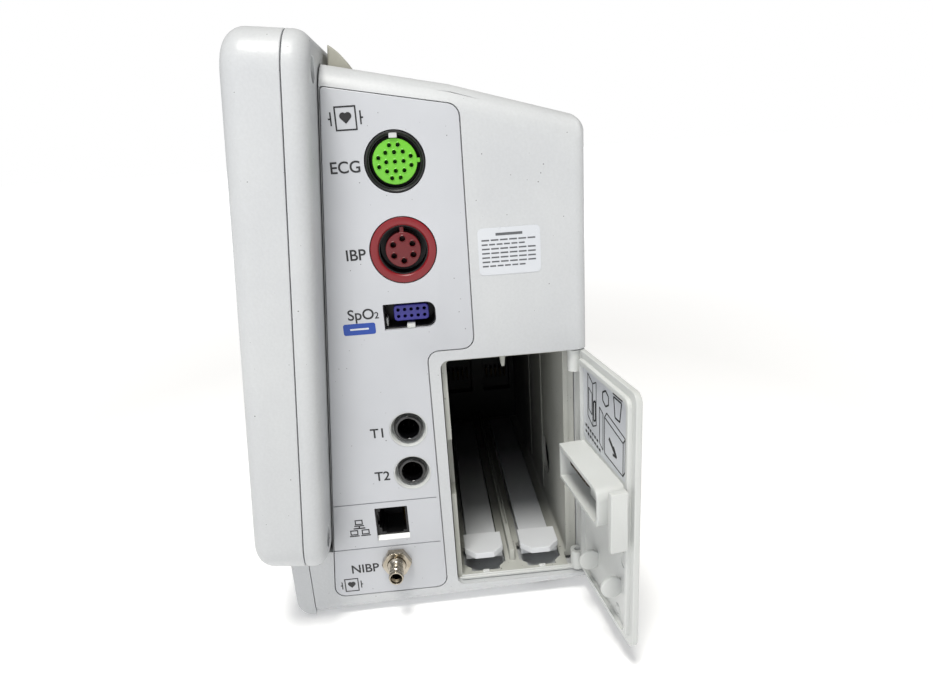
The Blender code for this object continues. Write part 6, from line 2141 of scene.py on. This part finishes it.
@dataclass
class RearFittings:
    """Power inlet and ground stud in the rear wall, and the plain sticker on the side."""

    bench: Bench
    layout: Layout
    inlet: Point = (-58.0, 140.0)
    size: Point = (27.2, 20.0)
    depth: float = 17.0

    def build(self) -> None:
        """Makes the rear fittings and the sticker."""
        self.power_inlet()
        self.ground_stud()
        self.sticker()

    def power_inlet(self) -> None:
        """Makes the three-pin inlet."""
        rear = self.layout.rear
        x, z = self.inlet
        width, height = self.size
        body = prism(
            rounded_box(width, height, 1.0, self.inlet), -rear - 1, self.depth - rear, Face.XZ,
            foot=0.3, steps=4,
        )
        mouth = [
            (x - width / 2 + 2, z - height / 2 + 2, 0.5),
            (x + width / 2 - 2, z - height / 2 + 2, 0.5),
            (x + width / 2 - 2, z + height / 2 - 5.5, 0.5),
            (x + width / 2 - 6, z + height / 2 - 2, 0.5),
            (x - width / 2 + 6, z + height / 2 - 2, 0.5),
            (x - width / 2 + 2, z + height / 2 - 5.5, 0.5),
        ]
        cavity = prism(mouth, -rear - 5, self.depth - rear - 2, Face.XZ, steps=3)
        body = combined(body, [cavity])
        self.bench.put("inlet_body", body, BLACK, replaces=["power_inlet"], edge=0.15)
        pins = merged(
            block(
                (x + dx - 1, rear - self.depth + 1.6, z + dz - 2),
                (x + dx + 1, rear - 3, z + dz + 2), 0.35,
            )
            for dx, dz in ((-7, -2), (0, 2), (7, -2))
        )
        self.bench.put("inlet_pins", pins, NICKEL)

    def ground_stud(self) -> None:
        """Makes the turned stud with its rounded nose."""
        profile = [
            (0, 9), (2.2, 9), (3, 8.2), (3, 1.2), (2.6, 0.9), (2.6, 0.2), (3, -0.1), (3, -7), (0, -7)
        ]
        stud = lathe(profile, (-20, self.layout.rear, self.inlet[1]), (0, 1, 0), soft=0.2, steps=40)
        self.bench.put("turned_stud", stud, NICKEL, replaces=["ground_stud"])

    def sticker(self) -> None:
        """Makes the white sticker with grey bars in place of words."""
        x = self.layout.half_width
        y, z = 28.2, 139.9
        width, height = 21.0, 15.8
        plate = prism(rounded_box(width, height, 1.6, (y, z)), x - 0.02, x + 0.12, Face.YZ, steps=5)
        self.bench.put("side_sticker", plate, LABEL)
        bars = [stroke_box(y - 4.5, z + 5.2, y + 4.5, z + 6.1, x + 0.12, Face.YZ, 0.03)]
        for row in range(7):
            level = z + 3.8 - row * 1.45
            reach = width / 2 - 1.2 - (1.8 if row in (1, 6) else 0)
            cells = 6
            for i in range(cells):
                a = y - width / 2 + 1.2 + i * (2 * reach) / cells
                bars.append(
                    stroke_box(
                        a, level - 0.25, a + 2 * reach / cells - 0.5, level + 0.25, x + 0.12,
                        Face.YZ, 0.03,
                    ),
                )
        self.bench.put("side_sticker_bars", merged(bars), GREY_INK)


# -------- studio


@dataclass
class Studio:
    """Floor, lights and camera."""

    bench: Bench
    origin: Vector
    focal: float = 655.0
    image_width: float = 933.0
    sensor: float = 36.0
    yaw: float = math.radians(3.019)
    pitch: float = math.radians(18.143)
    roll: float = math.radians(-3.911)
    eye: Place = (319.57, 0.0, 177.5)
    ambient: float = 0.26
    # Distances in metres over which the paper's painted glow rises from weak to full.
    lit: Point = (0.28, 1.1)

    def build(self) -> None:
        """Makes the whole studio."""
        self.floor()
        self.lights()
        self.camera()

    def floor(self) -> None:
        """Makes a wide flat paper floor."""
        bm = bmesh.new()
        bmesh.ops.create_grid(bm, x_segments=1, y_segments=1, size=6.0)
        mesh = bpy.data.meshes.new("studio_floor")
        bm.to_mesh(mesh)
        bm.free()
        mesh.materials.append(self.painted_glow(self.bench.material(PAPER)))
        floor = bpy.data.objects.new("studio_floor", mesh)
        floor.location = (0, 0, -0.0002)
        bpy.context.scene.collection.objects.link(floor)

    def painted_glow(self, paper: bpy.types.Material) -> bpy.types.Material:
        """Paints the light of backdrop lamps into the paper as a glow, weak near the monitor and full far
        from it.

        Args:
            paper: The paper's material.

        Returns:
            The same material.
        """
        tree = paper.node_tree
        place = add_node(tree, "ShaderNodeTexCoord").outputs["Object"]
        away = add_node(tree, "ShaderNodeVectorMath", {0: place}, operation="LENGTH").outputs["Value"]
        start, end = self.lit
        share = ramp(tree, away, (start, end), (0.22, 1.0))
        shader = next(node for node in tree.nodes if node.type == "BSDF_PRINCIPLED")
        shader.inputs["Emission Color"].default_value = linear("#FFFFFF")
        tree.links.new(share, shader.inputs["Emission Strength"])
        return paper

    def lights(self) -> None:
        """Makes a bright even surround, an overhead softbox and a low fill."""
        world = bpy.data.worlds.new("studio")
        bpy.context.scene.world = world
        world.use_nodes = True
        tree = world.node_tree
        back = tree.nodes["Background"]
        back.inputs["Color"].default_value = linear("#FFFFFF")
        seen = add_node(tree, "ShaderNodeLightPath").outputs["Is Camera Ray"]
        strength = ramp(tree, seen, (0.0, 1.0), (self.ambient, 1.0))
        tree.links.new(strength, back.inputs["Strength"])
        lamps = (
            ("key_softbox", (0.5, -0.1, 1.15), (0.1, 0.0, 0.08), 0.3, 11.5, "#FFFDF8"),
            ("side_fill", (1.1, -0.5, 0.55), (0.1, 0.0, 0.1), 0.8, 3.2, "#F4F7FF"),
        )
        bpy.context.scene.view_settings.view_transform = "Standard"
        for name, place, target, size, power, colour in lamps:
            data = bpy.data.lights.new(name, "AREA")
            data.size = size
            data.energy = power
            data.color = linear(colour)[:3]
            lamp = bpy.data.objects.new(name, data)
            lamp.location = place
            lamp.rotation_euler = (Vector(target) - Vector(place)).to_track_quat("-Z", "Y").to_euler()
            bpy.context.scene.collection.objects.link(lamp)

    def camera(self) -> None:
        """Makes the camera that looks at the connector side from above its middle."""
        forward = Vector(
            (
                -math.cos(self.yaw) * math.cos(self.pitch),
                math.sin(self.yaw) * math.cos(self.pitch), -math.sin(self.pitch),
            )
        )
        right = forward.cross(Vector((0, 0, 1))).normalized()
        up = right.cross(forward)
        across = math.cos(self.roll) * right + math.sin(self.roll) * up
        along = -math.sin(self.roll) * right + math.cos(self.roll) * up
        data = bpy.data.cameras.new("camera")
        data.sensor_width = self.sensor
        data.sensor_fit = "HORIZONTAL"
        data.lens = self.focal / self.image_width * self.sensor
        data.clip_start = 0.01
        camera = bpy.data.objects.new("camera", data)
        axes = Matrix((across, along, -forward)).transposed().to_4x4()
        place = (Vector(self.eye) - self.origin) * MM
        camera.matrix_world = Matrix.Translation(place) @ axes
        bpy.context.scene.collection.objects.link(camera)
        bpy.context.scene.camera = camera


# -------- build


def frames_of(layout: Layout) -> tuple[dict[str, Matrix], Vector]:
    """Works out the sub-assemblies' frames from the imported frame.

    Args:
        layout: The shared sizes.

    Returns:
        Frames by name, in millimetres, and the chassis origin's offset.
    """
    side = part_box("connector_panel")[1].x / MM
    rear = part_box("power_inlet")[1].y / MM - 1.0
    origin = Vector((layout.half_width - side, layout.rear - rear, 0))
    chassis = Matrix.Translation(-origin)
    display = (
        chassis
        @ Matrix.Translation((0, layout.display_back, layout.display_middle))
        @ Matrix.Rotation(-layout.tilt, 4, "X")
    )
    door = chassis @ Matrix.Translation((*layout.hinge, 0)) @ Matrix.Rotation(math.radians(97.4), 4, "Z")
    return {"chassis": chassis, "display": display, "door": door}, origin


def ecg_holes() -> list[Point]:
    """Gives the seventeen contact holes of the ECG insert."""
    pitch = 2.77
    rows = [(-pitch, b) for b in (2.89, 0, -2.89)] + [(0, b) for b in (2.89, 0, -2.89)]
    rows += [(pitch, b) for b in (2.89, 0, -2.89)]
    pairs = [(1.37, 5.08), (5.15, 1.4), (5.15, -1.4), (1.37, -5.08)]
    return rows + [(s * a, b) for a, b in pairs for s in (-1, 1)]


def sockets_of(bench: Bench, layout: Layout) -> list:
    """Makes the connector assemblies, not yet built.

    Args:
        bench: Where they are built.
        layout: The shared sizes.

    Returns:
        One object per connector.
    """
    ring = [math.radians(90 + 60 * i) for i in range(6)]
    return [
        RoundSocket(bench, layout, "ecg", (-7.2, 170.9), 9.5, 8.6, 7.15, ecg_holes(), 1.35, BLACK, GREEN),
        RoundSocket(
            bench, layout, "ibp", (-7.2, 142.6), 10.9, 8.2, 5.85,
            [(3.7 * math.cos(a), 3.7 * math.sin(a)) for a in ring], 2.0, RED, DEEP_RED,
            key_angle=math.radians(90),
        ),
        PulseSocket(bench, layout), TemperatureJack(bench, layout, 1, (-11.5, 77.7)),
        TemperatureJack(bench, layout, 2, (-11.6, 60.3)), NetworkJack(bench, layout),
        CuffFitting(bench, layout),
    ]


def ecg_key(bench: Bench, layout: Layout) -> None:
    """Makes the light key block at the top of the ECG socket."""
    x = layout.half_width
    key = block((x - 4, -8.45, 178.15), (x - 0.35, -5.85, 180.05), 0.2)
    bench.put("ecg_key_block", key, INNER)


def main() -> None:
    """Builds the monitor from its sub-assemblies, and reports each."""
    logging.basicConfig(level=logging.INFO, format="%(message)s")
    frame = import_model()
    layout = Layout()
    frames, origin = frames_of(layout)
    bench = Bench(frames)
    panel = ConnectorPanel(bench, layout)
    sockets = sockets_of(bench, layout)
    Housing(bench, layout, panel).build()
    panel.build([socket.hole_cutter() for socket in sockets])
    for socket in sockets:
        socket.build()
    ecg_key(bench, layout)
    BatteryBay(bench, layout).build()
    BatteryDoor(bench, layout).build()
    Display(bench).build()
    Handle(bench, layout).build()
    RearFittings(bench, layout).build()
    nodes = frame["nodes"]
    bench.dress(nodes, ["key_board", "main_board", "parameter_board"], BOARD)
    bench.dress(nodes, ["lcd_module", "lcd_bracket", "power_supply", "nibp_pump", "encoder_shaft"], ZINC)
    bench.dress(nodes, ["speaker", "nibp_valve_block", "rotary_encoder", "encoder_plunger"], BLACK)
    bench.dress(nodes, ["nibp_hose"], HOSE)
    Studio(bench, origin).build()
    LOG.info("%d pieces", bench.count)


if __name__ == "__main__":
    main()
